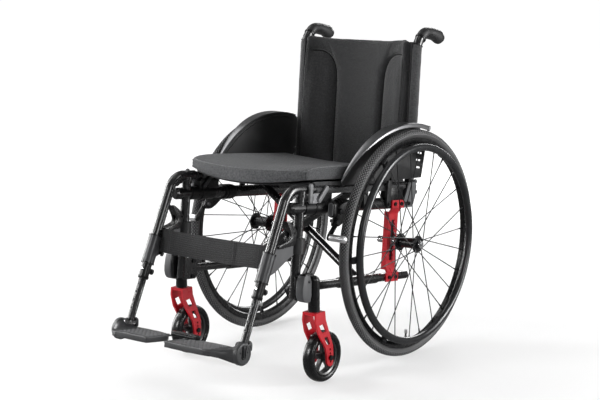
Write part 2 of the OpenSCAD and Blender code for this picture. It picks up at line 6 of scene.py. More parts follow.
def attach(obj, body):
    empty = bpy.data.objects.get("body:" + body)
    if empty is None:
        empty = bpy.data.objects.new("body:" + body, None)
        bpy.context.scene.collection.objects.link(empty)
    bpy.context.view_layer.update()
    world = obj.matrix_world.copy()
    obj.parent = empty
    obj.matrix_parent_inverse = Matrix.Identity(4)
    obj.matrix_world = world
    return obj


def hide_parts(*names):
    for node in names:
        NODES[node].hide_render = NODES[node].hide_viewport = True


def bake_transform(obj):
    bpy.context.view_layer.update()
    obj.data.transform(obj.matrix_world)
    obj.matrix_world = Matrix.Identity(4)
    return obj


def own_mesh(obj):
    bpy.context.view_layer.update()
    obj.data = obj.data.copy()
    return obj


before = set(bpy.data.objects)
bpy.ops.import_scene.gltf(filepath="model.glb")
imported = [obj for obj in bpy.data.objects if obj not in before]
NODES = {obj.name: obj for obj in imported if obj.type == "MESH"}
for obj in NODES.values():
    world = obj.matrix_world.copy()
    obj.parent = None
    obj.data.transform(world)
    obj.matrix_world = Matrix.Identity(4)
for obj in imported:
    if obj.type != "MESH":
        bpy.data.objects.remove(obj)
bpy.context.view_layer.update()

scene = bpy.context.scene
AY = 0.1969
rad = math.radians


# ------------------------------------------------------------------ frames
def P(x, y, z):
    """millimetres from the rear axle line -> metres in the row frame"""
    return Vector((x / 1000, y / 1000 + AY, z / 1000))


def tilted(a, y0, z0):
    c, s = math.cos(rad(a)), math.sin(rad(a))
    return lambda x, u, v: P(x, y0 + u * c + v * s, z0 - u * s + v * c)


F = tilted(6, 0, 199)            # side frame: x, along the tubes, up
T = tilted(5.086, 102, 597)      # back posts
G0 = tilted(8, -592.5, 141)      # footplates
FX, CX, WX = 184, 217, 244.75


def G(x, u, v):
    return G0(FX + x, u, v)


# ------------------------------------------------------------------ materials
def ramp(nt, fac, stops):
    n = nt.nodes.new("ShaderNodeValToRGB")
    e = n.color_ramp.elements
    while len(e) < len(stops):
        e.new(0.5)
    for k, (p, c) in enumerate(stops):
        e[k].position = p
        e[k].color = (*c, 1) if len(c) == 3 else c
    nt.links.new(fac, n.inputs[0])
    return n.outputs[0]


def grey(v):
    return (v, v, v)


def mix_col(c, k):
    return tuple(min(1.0, x * k) for x in c)


def material(name, base, spread=0.25, rough=(0.3, 0.45), metal=0.0, coat=0.0, coat_rough=0.1, spec=0.5, sheen=0.0,
             blotch=14.0, grain=600.0, bump=0.08, depth=0.0004, detail=None, tint=None):
    """painted, moulded or metal surface: large soft colour variation, fine grain in roughness and bump"""
    m = bpy.data.materials.new(name)
    m.use_nodes = True
    nt = m.node_tree
    b = nt.nodes["Principled BSDF"]
    co = nt.nodes.new("ShaderNodeTexCoord").outputs["Object"]
    n1 = nt.nodes.new("ShaderNodeTexNoise")
    n1.inputs["Scale"].default_value = blotch
    n1.inputs["Detail"].default_value = 6
    n1.inputs["Roughness"].default_value = 0.6
    nt.links.new(co, n1.inputs["Vector"])
    lo, hi = mix_col(base, 1 - spread), mix_col(base, 1 + spread)
    nt.links.new(ramp(nt, n1.outputs[0], [(0.3, lo), (0.55, base), (0.75, tint or hi)]), b.inputs["Base Color"])
    n2 = nt.nodes.new("ShaderNodeTexNoise")
    n2.inputs["Scale"].default_value = grain
    n2.inputs["Detail"].default_value = 3
    nt.links.new(co, n2.inputs["Vector"])
    n3 = nt.nodes.new("ShaderNodeTexNoise")
    n3.inputs["Scale"].default_value = blotch * 4
    n3.inputs["Detail"].default_value = 8
    n3.inputs["Roughness"].default_value = 0.7
    nt.links.new(co, n3.inputs["Vector"])
    nt.links.new(ramp(nt, n3.outputs[0], [(0.3, grey(rough[0])), (0.72, grey(rough[1]))]), b.inputs["Roughness"])
    bp = nt.nodes.new("ShaderNodeBump")
    bp.inputs["Strength"].default_value = bump
    bp.inputs["Distance"].default_value = depth
    nt.links.new(n2.outputs[0], bp.inputs["Height"])
    nt.links.new(bp.outputs[0], b.inputs["Normal"])
    b.inputs["Metallic"].default_value = metal
    b.inputs["Coat Weight"].default_value = coat
    b.inputs["Coat Roughness"].default_value = coat_rough
    b.inputs["Specular IOR Level"].default_value = spec
    if sheen:
        b.inputs["Sheen Weight"].default_value = sheen
    return m


def fabric(name, base, light, scale=900.0, bump=0.5, depth=0.0006, sheen=0.25, twill=False, blotch=9.0, rough=0.92):
    """woven cloth: two crossed thread directions in colour and bump, melange noise, soft sheen"""
    m = bpy.data.materials.new(name)
    m.use_nodes = True
    nt = m.node_tree
    b = nt.nodes["Principled BSDF"]
    co = nt.nodes.new("ShaderNodeTexCoord").outputs["Object"]
    waves = []
    for k, d in enumerate(("X", "Z")):
        w = nt.nodes.new("ShaderNodeTexWave")
        w.wave_type = "BANDS"
        w.bands_direction = "DIAGONAL" if (twill and k) else d
        w.inputs["Scale"].default_value = scale
        w.inputs["Distortion"].default_value = 0.6
        w.inputs["Detail"].default_value = 1
        nt.links.new(co, w.inputs["Vector"])
        waves.append(w.outputs["Color"])
    w3 = nt.nodes.new("ShaderNodeTexWave")
    w3.bands_direction = "Y"
    w3.inputs["Scale"].default_value = scale
    w3.inputs["Distortion"].default_value = 0.6
    nt.links.new(co, w3.inputs["Vector"])
    mx = nt.nodes.new("ShaderNodeMix")
    mx.data_type = "RGBA"
    mx.blend_type = "MULTIPLY"
    mx.inputs["Factor"].default_value = 0.8
    nt.links.new(waves[0], mx.inputs["A"])
    nt.links.new(w3.outputs["Color"], mx.inputs["B"])
    mx2 = nt.nodes.new("ShaderNodeMix")
    mx2.data_type = "RGBA"
    mx2.blend_type = "LIGHTEN"
    mx2.inputs["Factor"].default_value = 0.6
    nt.links.new(mx.outputs["Result"], mx2.inputs["A"])
    nt.links.new(waves[1], mx2.inputs["B"])
    n1 = nt.nodes.new("ShaderNodeTexNoise")
    n1.inputs["Scale"].default_value = scale * 0.45
    n1.inputs["Detail"].default_value = 4
    nt.links.new(co, n1.inputs["Vector"])
    n2 = nt.nodes.new("ShaderNodeTexNoise")
    n2.inputs["Scale"].default_value = blotch
    n2.inputs["Detail"].default_value = 5
    nt.links.new(co, n2.inputs["Vector"])
    c1 = ramp(nt, n1.outputs[0], [(0.34, mix_col(base, 0.62)), (0.5, base), (0.66, light)])
    c2 = ramp(nt, n2.outputs[0], [(0.3, grey(0.82)), (0.7, grey(1.0))])
    m3 = nt.nodes.new("ShaderNodeMix")
    m3.data_type = "RGBA"
    m3.blend_type = "MULTIPLY"
    m3.inputs["Factor"].default_value = 1.0
    nt.links.new(c1, m3.inputs["A"])
    nt.links.new(c2, m3.inputs["B"])
    nt.links.new(m3.outputs["Result"], b.inputs["Base Color"])
    bp = nt.nodes.new("ShaderNodeBump")
    bp.inputs["Strength"].default_value = bump
    bp.inputs["Distance"].default_value = depth
    nt.links.new(mx2.outputs["Result"], bp.inputs["Height"])
    bp2 = nt.nodes.new("ShaderNodeBump")
    bp2.inputs["Strength"].default_value = 0.25
    bp2.inputs["Distance"].default_value = 0.002
    nt.links.new(n2.outputs[0], bp2.inputs["Height"])
    nt.links.new(bp.outputs[0], bp2.inputs["Normal"])
    nt.links.new(bp2.outputs[0], b.inputs["Normal"])
    nt.links.new(ramp(nt, n1.outputs[0], [(0.3, grey(rough - 0.1)), (0.7, grey(min(1.0, rough + 0.05)))]), b.inputs["Roughness"])
    b.inputs["Sheen Weight"].default_value = sheen
    b.inputs["Sheen Roughness"].default_value = 0.5
    b.inputs["Specular IOR Level"].default_value = 0.25
    return m


M = {
    "frame": material("frame_black", (0.0045, 0.0045, 0.005), 0.3, (0.22, 0.30), coat=0.15, coat_rough=0.14, spec=0.62, grain=420, bump=0.05, depth=0.0003),
    "red": material("red_paint", (0.40, 0.006, 0.014), 0.18, (0.25, 0.38), coat=0.35, coat_rough=0.08, spec=0.35, grain=420, bump=0.05, depth=0.0003, tint=(0.46, 0.009, 0.017)),
    "steel": material("bright_steel", (0.62, 0.62, 0.63), 0.12, (0.16, 0.32), metal=1.0, grain=900, bump=0.06, depth=0.0002),
    "chrome": material("chrome", (0.78, 0.78, 0.79), 0.05, (0.05, 0.12), metal=1.0, grain=300, bump=0.02, depth=0.0002),
    "spoke": material("spoke_steel", (0.012, 0.012, 0.013), 0.2, (0.35, 0.5), metal=0.3, grain=800, bump=0.03, depth=0.0002),
    "hub": material("hub_black", (0.008, 0.008, 0.009), 0.3, (0.2, 0.32), metal=0.2, spec=0.4, grain=800, bump=0.05, depth=0.0002),
    "rim": material("rim_black", (0.0045, 0.0045, 0.005), 0.3, (0.2, 0.34), coat=0.15, coat_rough=0.1, spec=0.35, grain=700, bump=0.05, depth=0.0002),
    "pushrim": material("pushrim_grey", (0.026, 0.0265, 0.028), 0.25, (0.18, 0.27), metal=0.35, spec=0.5, grain=700, bump=0.04, depth=0.0002),
    "tyre": material("tyre_rubber", (0.048, 0.048, 0.049), 0.25, (0.38, 0.52), grain=900, bump=0.25, depth=0.0004, spec=0.35),
    "castor": material("castor_rubber", (0.0055, 0.0055, 0.006), 0.3, (0.2, 0.34), spec=0.35, grain=900, bump=0.08, depth=0.0003),
    "grip": material("grip_rubber", (0.014, 0.014, 0.0148), 0.25, (0.4, 0.55), spec=0.35, grain=1100, bump=0.3, depth=0.0004),
    "black": material("black_plastic", (0.0050, 0.0050, 0.0054), 0.3, (0.24, 0.36), spec=0.28, grain=1200, bump=0.2, depth=0.0003),
    "grey": material("grey_plastic", (0.060, 0.062, 0.066), 0.25, (0.38, 0.55), grain=1200, bump=0.25, depth=0.0003),
    "dark": material("dark_plastic", (0.013, 0.0132, 0.014), 0.25, (0.36, 0.52), spec=0.35, grain=1200, bump=0.3, depth=0.0004),
    "gloss": material("guard_gloss", (0.005, 0.005, 0.0055), 0.3, (0.30, 0.38), coat=0.0, coat_rough=0.05, spec=0.9, grain=300, bump=0.03, depth=0.0003),
    "band": material("guard_band", (0.15, 0.15, 0.154), 0.2, (0.27, 0.35), metal=0.92, spec=0.5, grain=300, bump=0.03, depth=0.0003),
    "matte": material("guard_matte", (0.011, 0.011, 0.0115), 0.3, (0.42, 0.58), spec=0.3, grain=1500, bump=0.35, depth=0.0004),
    "cushion": fabric("cushion_cloth", (0.073, 0.0744, 0.0775), (0.098, 0.0999, 0.1043), scale=560, bump=0.5, sheen=0.06),
    "back": fabric("back_cloth", (0.0155, 0.0157, 0.0166), (0.025, 0.0253, 0.0265), scale=560, bump=0.5, sheen=0.18),
    "binding": fabric("binding_tape", (0.010, 0.010, 0.011), (0.020, 0.020, 0.021), scale=520, bump=0.5, sheen=0.15, twill=True),
    "sling": fabric("sling_nylon", (0.008, 0.008, 0.009), (0.017, 0.017, 0.018), scale=380, bump=0.6, sheen=0.1, rough=0.7),
    "web": fabric("strap_webbing", (0.0075, 0.0075, 0.0083), (0.0155, 0.0155, 0.0163), scale=300, bump=0.8, depth=0.0008, sheen=0.15, twill=True, rough=0.75),
    "bolt": material("black_bolt", (0.014, 0.014, 0.015), 0.3, (0.25, 0.4), metal=0.7, grain=900, bump=0.05, depth=0.0002),
    "sleeve": fabric("sleeve_cloth", (0.045, 0.0455, 0.047), (0.064, 0.0645, 0.066), scale=560, bump=0.4, sheen=0.3),
    # welt cloth, lighter than the cover: partly the seam's own welt, partly painted highlight along the cushion's top
    # edge
    "welt": fabric("cushion_welt_highlight", (0.085, 0.086, 0.090), (0.14, 0.141, 0.146), scale=520, bump=0.4, sheen=0.35),
    "back_welt": fabric("back_welt", (0.012, 0.012, 0.013), (0.024, 0.0245, 0.026), scale=520, bump=0.4, sheen=0.2),
    "satin": material("satin_grey", (0.034, 0.035, 0.037), 0.2, (0.30, 0.44), metal=0.25, spec=0.45, grain=900, bump=0.12, depth=0.0003),
    # near-black cord for the sewn channels: painted shade of the channel creases
    "pipe": fabric("back_piping_crease_shade", (0.0022, 0.0022, 0.0024), (0.0045, 0.0045, 0.0048), scale=520, bump=0.3, sheen=0.0),
    "thread": material("thread", (0.05, 0.05, 0.052), 0.3, (0.6, 0.8), grain=900, bump=0.3),
}


# ------------------------------------------------------------------ mesh helpers
def smooth_by_angle(me, angle=35):
    me.polygons.foreach_set("use_smooth", [True] * len(me.polygons))
    me.set_sharp_from_angle(angle=rad(angle))


def bevel(ob, width, segs=2, angle=32):
    m = ob.modifiers.new("edge", "BEVEL")
    m.width = width
    m.segments = segs
    m.limit_method = "ANGLE"
    m.angle_limit = rad(angle)
    m.harden_normals = False
    m.miter_outer = "MITER_ARC"
    return ob


def add(name, verts, faces, mat, body, angle=35, slot=None, bev=0, segs=2, sub=0, merge=1e-6):
    me = bpy.data.meshes.new(name)
    bm = bmesh.new()
    vs = [bm.verts.new(v) for v in verts]
    for f in faces:
        if len(set(f)) >= 3:
            try:
                bm.faces.new([vs[k] for k in dict.fromkeys(f)])
            except ValueError:
                pass
    bmesh.ops.remove_doubles(bm, verts=bm.verts, dist=merge)
    bmesh.ops.recalc_face_normals(bm, faces=bm.faces)
    bm.to_mesh(me)
    bm.free()
    smooth_by_angle(me, angle)
    ob = bpy.data.objects.new(name, me)
    scene.collection.objects.link(ob)
    me.materials.append(M[mat])
    if bev:
        bevel(ob, bev, segs)
    if sub:
        s = ob.modifiers.new("sub", "SUBSURF")
        s.levels = s.render_levels = sub
    if body:
        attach(ob, body)
    return ob


def frames_along(pts, closed=False):
    n = len(pts)
    tans = []
    for i in range(n):
        a = pts[(i - 1) % n] if (closed or i > 0) else pts[i]
        b = pts[(i + 1) % n] if (closed or i < n - 1) else pts[i]
        tans.append((b - a).normalized())
    up = Vector((1, 0, 0)) if abs(tans[0].x) < 0.9 else Vector((0, 0, 1))
    nrm = (up - tans[0] * up.dot(tans[0])).normalized()
    out = []
    for i in range(n):
        nrm = (nrm - tans[i] * nrm.dot(tans[i])).normalized()
        out.append((tans[i], nrm, tans[i].cross(nrm)))
    return out


def tube(name, pts, r, mat, body, segs=20, closed=False, caps=True, flat=1.0, **kw):
    """round (or flattened) tube along points; r is a number or one per point"""
    fr = frames_along(pts, closed)
    verts, faces = [], []
    n = len(pts)
    for i, (p, (t, a, b)) in enumerate(zip(pts, fr)):
        ri = r[i] if hasattr(r, "__len__") else r
        for k in range(segs):
            w = 2 * math.pi * k / segs
            verts.append(p + a * (ri * math.cos(w)) + b * (ri * flat * math.sin(w)))
    for i in range(n if closed else n - 1):
        j = (i + 1) % n
        for k in range(segs):
            l = (k + 1) % segs
            faces.append((i * segs + k, i * segs + l, j * segs + l, j * segs + k))
    if caps and not closed:
        faces.append(tuple(range(segs))[::-1])
        faces.append(tuple((n - 1) * segs + k for k in range(segs)))
    return add(name, verts, faces, mat, body, **kw)


def arc(c, R, a0, a1, n, fn, x):
    return [fn(x, c[0] + R * math.cos(rad(a0 + (a1 - a0) * i / (n - 1))), c[1] + R * math.sin(rad(a0 + (a1 - a0) * i / (n - 1)))) for i in range(n)]


def revolve(name, profile, centre, axis, mat, body, segs=64, closed=True, **kw):
    """profile of (radius, along) in mm about an axis through centre (metres)"""
    ax = Vector(axis).normalized()
    u = Vector((0, 0, 1)) if abs(ax.z) < 0.9 else Vector((1, 0, 0))
    u = (u - ax * u.dot(ax)).normalized()
    v = ax.cross(u)
    verts, faces = [], []
    m = len(profile)
    for i in range(segs):
        w = 2 * math.pi * i / segs
        d = u * math.cos(w) + v * math.sin(w)
        for r, h in profile:
            verts.append(Vector(centre) + d * (r / 1000) + ax * (h / 1000))
    for i in range(segs):
        j = (i + 1) % segs
        for k in range(m if closed else m - 1):
            l = (k + 1) % m
            faces.append((i * m + k, i * m + l, j * m + l, j * m + k))
    return add(name, verts, faces, mat, body, **kw)


def prism(name, outline, thick, fn, mat, body, bev=0.0008, **kw):
    """outline of (u, v) in mm extruded from x0 to x1 in the frame fn"""
    x0, x1 = thick
    n = len(outline)
    verts = [fn(x0, u, v) for u, v in outline] + [fn(x1, u, v) for u, v in outline]
    faces = [tuple(range(n)), tuple(range(n, 2 * n))[::-1]]
    faces += [(i, (i + 1) % n, (i + 1) % n + n, i + n) for i in range(n)]
    return add(name, verts, faces, mat, body, bev=bev, **kw)


def block(name, lo, hi, fn, mat, body, bev=0.001, **kw):
    o = [(lo[1], lo[2]), (hi[1], lo[2]), (hi[1], hi[2]), (lo[1], hi[2])]
    return prism(name, o, (lo[0], hi[0]), fn, mat, body, bev=bev, **kw)


def side(fn, g):
    return lambda x, u, v: fn(g * x, u, v)


def Gs(g):
    return lambda x, u, v: G0(g * (FX + x), u, v)


SIDES = (("left", 1), ("right", -1))

# ------------------------------------------------------------------ CAD nodes that stay
LOOK = {"side_frame": ("frame", 0.0006), "castor_housing": ("black", 0.0006), "castor_bracket": ("dark", 0.004), "axle_plate": ("red", 0.0009),
        "wheel_axle": ("steel", 0.0005), "axle_button": ("chrome", 0.0006), "back_bracket": ("grey", 0.0009), "back_post": ("frame", 0.0),
        "tube_clamps": ("black", 0.0012), "frame_bolts": ("bolt", 0.0004), "brake_lever": ("black", 0.0014), "brake_arm": ("black", 0.0008),
        "rim": ("rim", 0.0004), "spokes": ("spoke", 0.0), "hub": ("hub", 0.0006), "pushrim": ("pushrim", 0.0012), "castor_fork": ("red", 0.0010),
        "castor_hub": ("black", 0.0007), "castor_axle": ("bolt", 0.0004), "hanger": ("frame", 0.0009), "release_lever": ("grey", 0.0014),
        "extension": ("frame", 0.0003), "footplate": ("dark", 0.0012), "side_guard": ("gloss", 0.0006), "push_grip": ("grip", 0.001),
        "tyre": ("tyre", 0), "castor_tyre": ("castor", 0)}


def finish_cad(o, mt, bv, segs=2):
    me = o.data
    me.materials.clear()
    me.materials.append(M[mt])
    me.polygons.foreach_set("material_index", [0] * len(me.polygons))
    if "custom_normal" in me.attributes:
        me.attributes.remove(me.attributes["custom_normal"])
    if "sharp_edge" in me.attributes:
        me.attributes.remove(me.attributes["sharp_edge"])
    me.polygons.foreach_set("use_smooth", [True] * len(me.polygons))
    w = o.modifiers.new("weld", "WELD")
    w.merge_threshold = 2e-6
    bevel(o, bv or 0.0003, segs, 30)
    wn = o.modifiers.new("normals", "WEIGHTED_NORMAL")
    wn.mode = "FACE_AREA"
    wn.weight = 50
    wn.keep_sharp = False


for S, g in SIDES:
    for n, (mt, bv) in LOOK.items():
        o = NODES[S + "_" + n]
        finish_cad(o, mt, bv)
for n, mt in (("crossbar_a", "frame"), ("crossbar_b", "frame"), ("seat_cushion", "cushion"), ("seat_sling", "sling"), ("backrest", "back"), ("calf_strap", "web")):
    finish_cad(NODES[n], mt, 0.0006)

# ------------------------------------------------------------------ soft goods
def grid_faces(n, m, off=0, flip=False):
    out = []
    for j in range(m - 1):
        for i in range(n - 1):
            q = (off + j * n + i, off + j * n + i + 1, off + (j + 1) * n + i + 1, off + (j + 1) * n + i)
            out.append(q[::-1] if flip else q)
    return out


def loose(name, verts, faces):
    me = bpy.data.meshes.new(name)
    bm = bmesh.new()
    vs = [bm.verts.new(v) for v in verts]
    for f in faces:
        f = list(dict.fromkeys(f))
        if len(f) >= 3:
            try:
                bm.faces.new([vs[k] for k in f])
            except ValueError:
                pass
    bmesh.ops.remove_doubles(bm, verts=bm.verts, dist=1e-6)
    bmesh.ops.recalc_face_normals(bm, faces=bm.faces)
    bm.to_mesh(me)
    bm.free()
    ob = bpy.data.objects.new(name, me)
    scene.collection.objects.link(ob)
    return ob


def bake(ob):
    """modifiers applied to the mesh"""
    bpy.context.view_layer.update()
    dg = bpy.context.evaluated_depsgraph_get()
    me = bpy.data.meshes.new_from_object(ob.evaluated_get(dg))
    me.name = ob.name
    ob.modifiers.clear()
    old = ob.data
    ob.data = me
    bpy.data.meshes.remove(old)
    return ob


def coords(me):
    a = np.empty(len(me.vertices) * 3)
    me.vertices.foreach_get("co", a)
    return a.reshape(-1, 3)


def put(me, a):
    me.vertices.foreach_set("co", np.ascontiguousarray(a, float).ravel())
    me.update()


def to_local(a):
    """row-frame metres -> side-frame millimetres (x, s, t)"""
    c, s = math.cos(rad(6)), math.sin(rad(6))
    y, z = (a[:, 1] - AY) * 1000, a[:, 2] * 1000 - 199
    return np.stack([a[:, 0] * 1000, y * c - z * s, y * s + z * c], 1)


def to_row(a):
    c, s = math.cos(rad(6)), math.sin(rad(6))
    return np.stack([a[:, 0] / 1000, (a[:, 1] * c + a[:, 2] * s) / 1000 + AY, (199 - a[:, 1] * s + a[:, 2] * c) / 1000], 1)


def puff(ob, hold=None, voxel=0.005, pressure=4.0, cap=0.006, frames=20, remesh=True):
    """fills a sewn cover: even mesh, cloth with inner pressure held along its seams, capped travel, one subdivision"""
    if remesh:
        r = ob.modifiers.new("remesh", "REMESH")
        r.mode = "VOXEL"
        r.voxel_size = voxel
        bake(ob)
    rest = coords(ob.data)
    c = ob.modifiers.new("cloth", "CLOTH")
    st = c.settings
    st.quality = 4
    st.mass = 0.25
    st.tension_stiffness = st.compression_stiffness = 12
    st.shear_stiffness = 5
    st.bending_stiffness = 0.6
    st.use_pressure = True
    st.uniform_pressure_force = pressure
    st.effector_weights.gravity = 0
    c.collision_settings.use_collision = False
    c.collision_settings.use_self_collision = False
    if hold is not None:
        g = ob.vertex_groups.new(name="sewn")
        for k in np.nonzero(hold(to_local(rest)))[0]:
            g.add([int(k)], 1.0, "REPLACE")
        st.vertex_group_mass = "sewn"
    scene.frame_start, scene.frame_end = 1, frames
    for f in range(1, frames + 1):
        scene.frame_set(f)
    dg = bpy.context.evaluated_depsgraph_get()
    ev = ob.evaluated_get(dg)
    me = ev.to_mesh()
    now = coords(me)
    ev.to_mesh_clear()
    d = now - rest
    n = np.linalg.norm(d, axis=1, keepdims=True)
    d *= np.minimum(1, cap / np.maximum(n, 1e-9))
    ob.modifiers.clear()
    ob.vertex_groups.clear()
    put(ob.data, rest + d)
    scene.frame_set(1)
    if remesh:
        s = ob.modifiers.new("smooth", "SMOOTH")
        s.factor = 0.5
        s.iterations = 4
    b = ob.modifiers.new("sub", "SUBSURF")
    b.levels = b.render_levels = 1
    bake(ob)
    ob.data.polygons.foreach_set("use_smooth", [True] * len(ob.data.polygons))
    return ob


def dress(ob, mat):
    ob.data.materials.clear()
    ob.data.materials.append(M[mat])
    return ob


# channels sewn into the back pad, one side: (x, t)
CHANNEL = [(146, 579), (132, 580), (118, 578), (104, 571), (94, 561), (86, 547), (81, 530), (79, 510), (78, 470), (78, 420), (77, 340), (76, 255)]


def channel_distance(x, t):
    d = np.full(x.shape, 1e9)
    ax = np.abs(x)
    for (x0, t0), (x1, t1) in zip(CHANNEL[:-1], CHANNEL[1:]):
        vx, vt = x1 - x0, t1 - t0
        k = np.clip(((ax - x0) * vx + (t - t0) * vt) / (vx * vx + vt * vt), 0, 1)
        d = np.minimum(d, np.hypot(ax - x0 - k * vx, t - t0 - k * vt))
    return d


def back_front(x):
    """front of the back pad: hollow between the two side seams, then a slanting border back to the posts"""
    ax = np.abs(x)
    return np.where(ax < 160, 29 + 40 * np.clip(1 - (ax / 160.0) ** 2, 0, 1) ** 0.8, 29 + (ax - 160) * 0.95)


def back_rear(x):
    return 47 + 39 * np.clip(1 - (x / 179.0) ** 2, 0, 1) ** 0.8


def edge_spaced(n, p=0.62):
    """-1..1, closer together at the ends"""
    u = np.linspace(-1, 1, n)
    return np.sign(u) * (1 - (1 - np.abs(u)) ** (1 / p))


def back_pad():
    n, m = 101, 91
    a, b = np.meshgrid(edge_spaced(n, 0.8), edge_spaced(m))
    T0, T1 = 263.0, 620.0
    x = 179.0 * a * (1 - 0.03 * np.clip(b, 0, 1) ** 22)
    t = (T0 + T1) / 2 + (T1 - T0) / 2 * b * (1 - 0.018 * np.abs(a) ** 16)
    h = np.clip(1 - np.abs(b) ** 16, 0, 1) ** (1 / 2.4)
    mid = (back_front(x) + back_rear(x)) / 2
    half = (back_rear(x) - back_front(x)) / 2 * h
    V = [to_row(np.stack([x, mid + sg * half, t], 2).reshape(-1, 3)) for sg in (-1, 1)]
    ob = loose("back_pad", [Vector(v) for v in np.concatenate(V)], grid_faces(n, m) + grid_faces(n, m, n * m, True))

    def sewn(L):
        fr = L[:, 1] < (back_front(L[:, 0]) + back_rear(L[:, 0])) / 2
        return fr & ((channel_distance(L[:, 0], L[:, 2]) < 4) | (np.abs(np.abs(L[:, 0]) - 160) < 3.5))

    puff(ob, hold=sewn, cap=0.005, voxel=0.0045)
    L = to_local(coords(ob.data))
    x, t = L[:, 0], L[:, 2]
    d = channel_distance(x, t)
    front = np.clip(((back_front(x) + back_rear(x)) / 2 - L[:, 1]) / 4, 0, 1)
    seam = np.abs(np.abs(x) - 160)
    soft = 4.0 * np.exp(-(d / 12.0) ** 1.3) + 5.0 * np.exp(-(d / 3.2) ** 2)
    soft += 1.6 * np.exp(-(seam / 2.6) ** 2) * np.clip((616 - t) / 8, 0, 1)
    # shallow tension folds at the upper ends of the channels
    fold = 0.9 * np.exp(-((t - 590) / 13) ** 2) * np.sin(x / 7.5) * np.exp(-((np.abs(x) - 142) / 14) ** 2)
    L[:, 1] += (soft + fold) * front
    put(ob.data, to_row(L))
    dress(ob, "back")
    return ob


def cushion_rear(x):
    return np.interp(np.abs(x), [0, 40, 80, 120, 150, 185], [58, 55, 48, 35, 12, 4])


def cushion_front(x):
    return -384 - 40 * (1 - (x / 185.0) ** 2)


def cushion_top(x, k):
    """k from 0 at the front edge to 1 at the rear: the border is lower along the front, and the pad sags with the sling"""
    bow = 1 - (x / 185.0) ** 2
    rise = 1 - np.exp(-k * 15)
    return 285 + 9.5 * rise - (7.5 + 8.5 * rise) * bow


def cushion_bottom(x):
    return 262 - 19 * (1 - (x / 185.0) ** 2)


def cushion():
    n, m, rows = 75, 81, 8
    a, k = np.meshgrid(edge_spaced(n, 0.8), (edge_spaced(m, 0.8) + 1) / 2)
    x = 185.0 * a
    pull = 2.2 * np.sin(np.pi * np.clip(k, 0, 1)) * np.abs(a) ** 3 * np.sign(a)
    sf, sr = cushion_front(x), cushion_rear(x)
    s = sf + (sr - sf) * k
    # rolled edge: the cover drops to its border seam
    rim = np.clip(np.minimum(np.minimum(185.0 - np.abs(x), (s - sf) * 0.95), (sr - s) * 0.95), 0, None)
    t = cushion_top(x, k) - 1.6 * np.exp(-(rim / 4.0) ** 1.5) + 1.5 * np.exp(-((rim - 16) / 14.0) ** 2)
    top = np.stack([x - pull, s, t], 2).reshape(-1, 3)
    bot = np.stack([x - pull, s, cushion_bottom(x)], 2).reshape(-1, 3)
    ring = [i for i in range(n)] + [j * n + n - 1 for j in range(1, m)] + [(m - 1) * n + i for i in range(n - 2, -1, -1)] + [j * n for j in range(m - 2, 0, -1)]
    R = len(ring)
    pr = top[ring][:, :2]
    tang = np.roll(pr, -1, 0) - np.roll(pr, 1, 0)
    nrm = np.stack([tang[:, 1], -tang[:, 0]], 1)
    nrm /= np.linalg.norm(nrm, axis=1, keepdims=True)
    corner = np.min([np.hypot(pr[:, 0] - cx, pr[:, 1] - cs) for cx, cs in ((185, -384), (-185, -384), (185, 4), (-185, 4))], axis=0)
    V = [top, bot]
    for r in range(1, rows):
        h = r / rows
        q = top[ring] * (1 - h) + bot[ring] * h
        out = 3.0 * math.sin(math.pi * h) ** 0.7 - 4.5 * np.exp(-(corner / 4.0) ** 2)
        q[:, :2] += nrm * out[:, None]
        V.append(q)
    base = 2 * n * m
    idx = [[i for i in ring]] + [[base + (r - 1) * R + i for i in range(R)] for r in range(1, rows)] + [[i + n * m for i in ring]]
    faces = grid_faces(n, m) + grid_faces(n, m, n * m, True)
    for r in range(rows):
        faces += [(idx[r][i], idx[r][(i + 1) % R], idx[r + 1][(i + 1) % R], idx[r + 1][i]) for i in range(R)]
    ob = loose("seat_pad", [Vector(v) for v in to_row(np.concatenate(V))], faces)
    rs = set(idx[0]) | set(idx[-1])
    cr = ob.data.attributes.new("crease_edge", "FLOAT", "EDGE")
    cr.data.foreach_set("value", [0.75 if (e.vertices[0] in rs and e.vertices[1] in rs) else 0.0 for e in ob.data.edges])

    def sewn(L):
        kk = np.clip((L[:, 1] - cushion_front(L[:, 0])) / (cushion_rear(L[:, 0]) - cushion_front(L[:, 0])), 0, 1)
        e = np.minimum(np.minimum(186 - np.abs(L[:, 0]), L[:, 1] - cushion_front(L[:, 0])), cushion_rear(L[:, 0]) - L[:, 1])
        edge = (e < 3) & ((np.abs(L[:, 2] - cushion_top(L[:, 0], kk) + 1.6) < 1.4) | (np.abs(L[:, 2] - cushion_bottom(L[:, 0])) < 1.2))
        vert = np.min([np.hypot(L[:, 0] - cx, L[:, 1] + 384) for cx in (185, -185)], axis=0) < 3.5
        return edge | vert | (L[:, 2] < cushion_bottom(L[:, 0]) + 0.5)

    puff(ob, hold=sewn, cap=0.004, remesh=False)
    L = to_local(coords(ob.data))
    x, s, t = L[:, 0], L[:, 1], L[:, 2]
    # the corner seams of the border pull the cover in, with a notch at the top edge
    for g in (1, -1):
        dc = np.hypot(x - g * 184, s + 383)
        L[:, 2] -= 2.5 * np.exp(-(dc / 7.0) ** 2) * np.clip((t - 268) / 12, 0, 1)
        L[:, 2] -= 1.0 * np.exp(-(dc / 22.0) ** 2) * np.clip((t - 275) / 8, 0, 1)
    put(ob.data, to_row(L))
    dress(ob, "cushion")
    return ob


def surface_line(pts, r, name, mat, segs=8, closed=False):
    return tube(name, [Vector(p) for p in pts], r, mat, None, segs=segs, closed=closed)


def join(obs):
    with bpy.context.temp_override(active_object=obs[0], object=obs[0], selected_objects=obs, selected_editable_objects=obs):
        bpy.ops.object.join()
    return obs[0]


def snapper(ob):
    """points moved onto the nearest spot of a mesh, then out along its normal"""
    from mathutils.bvhtree import BVHTree
    bm = bmesh.new()
    bm.from_mesh(ob.data)
    tree = BVHTree.FromBMesh(bm)
    bm.free()

    def move(pts, lift=0.0):
        out = []
        for p in pts:
            q, nrm, _, _ = tree.find_nearest(Vector(p))
            out.append(q + nrm * lift)
        return out
    return move


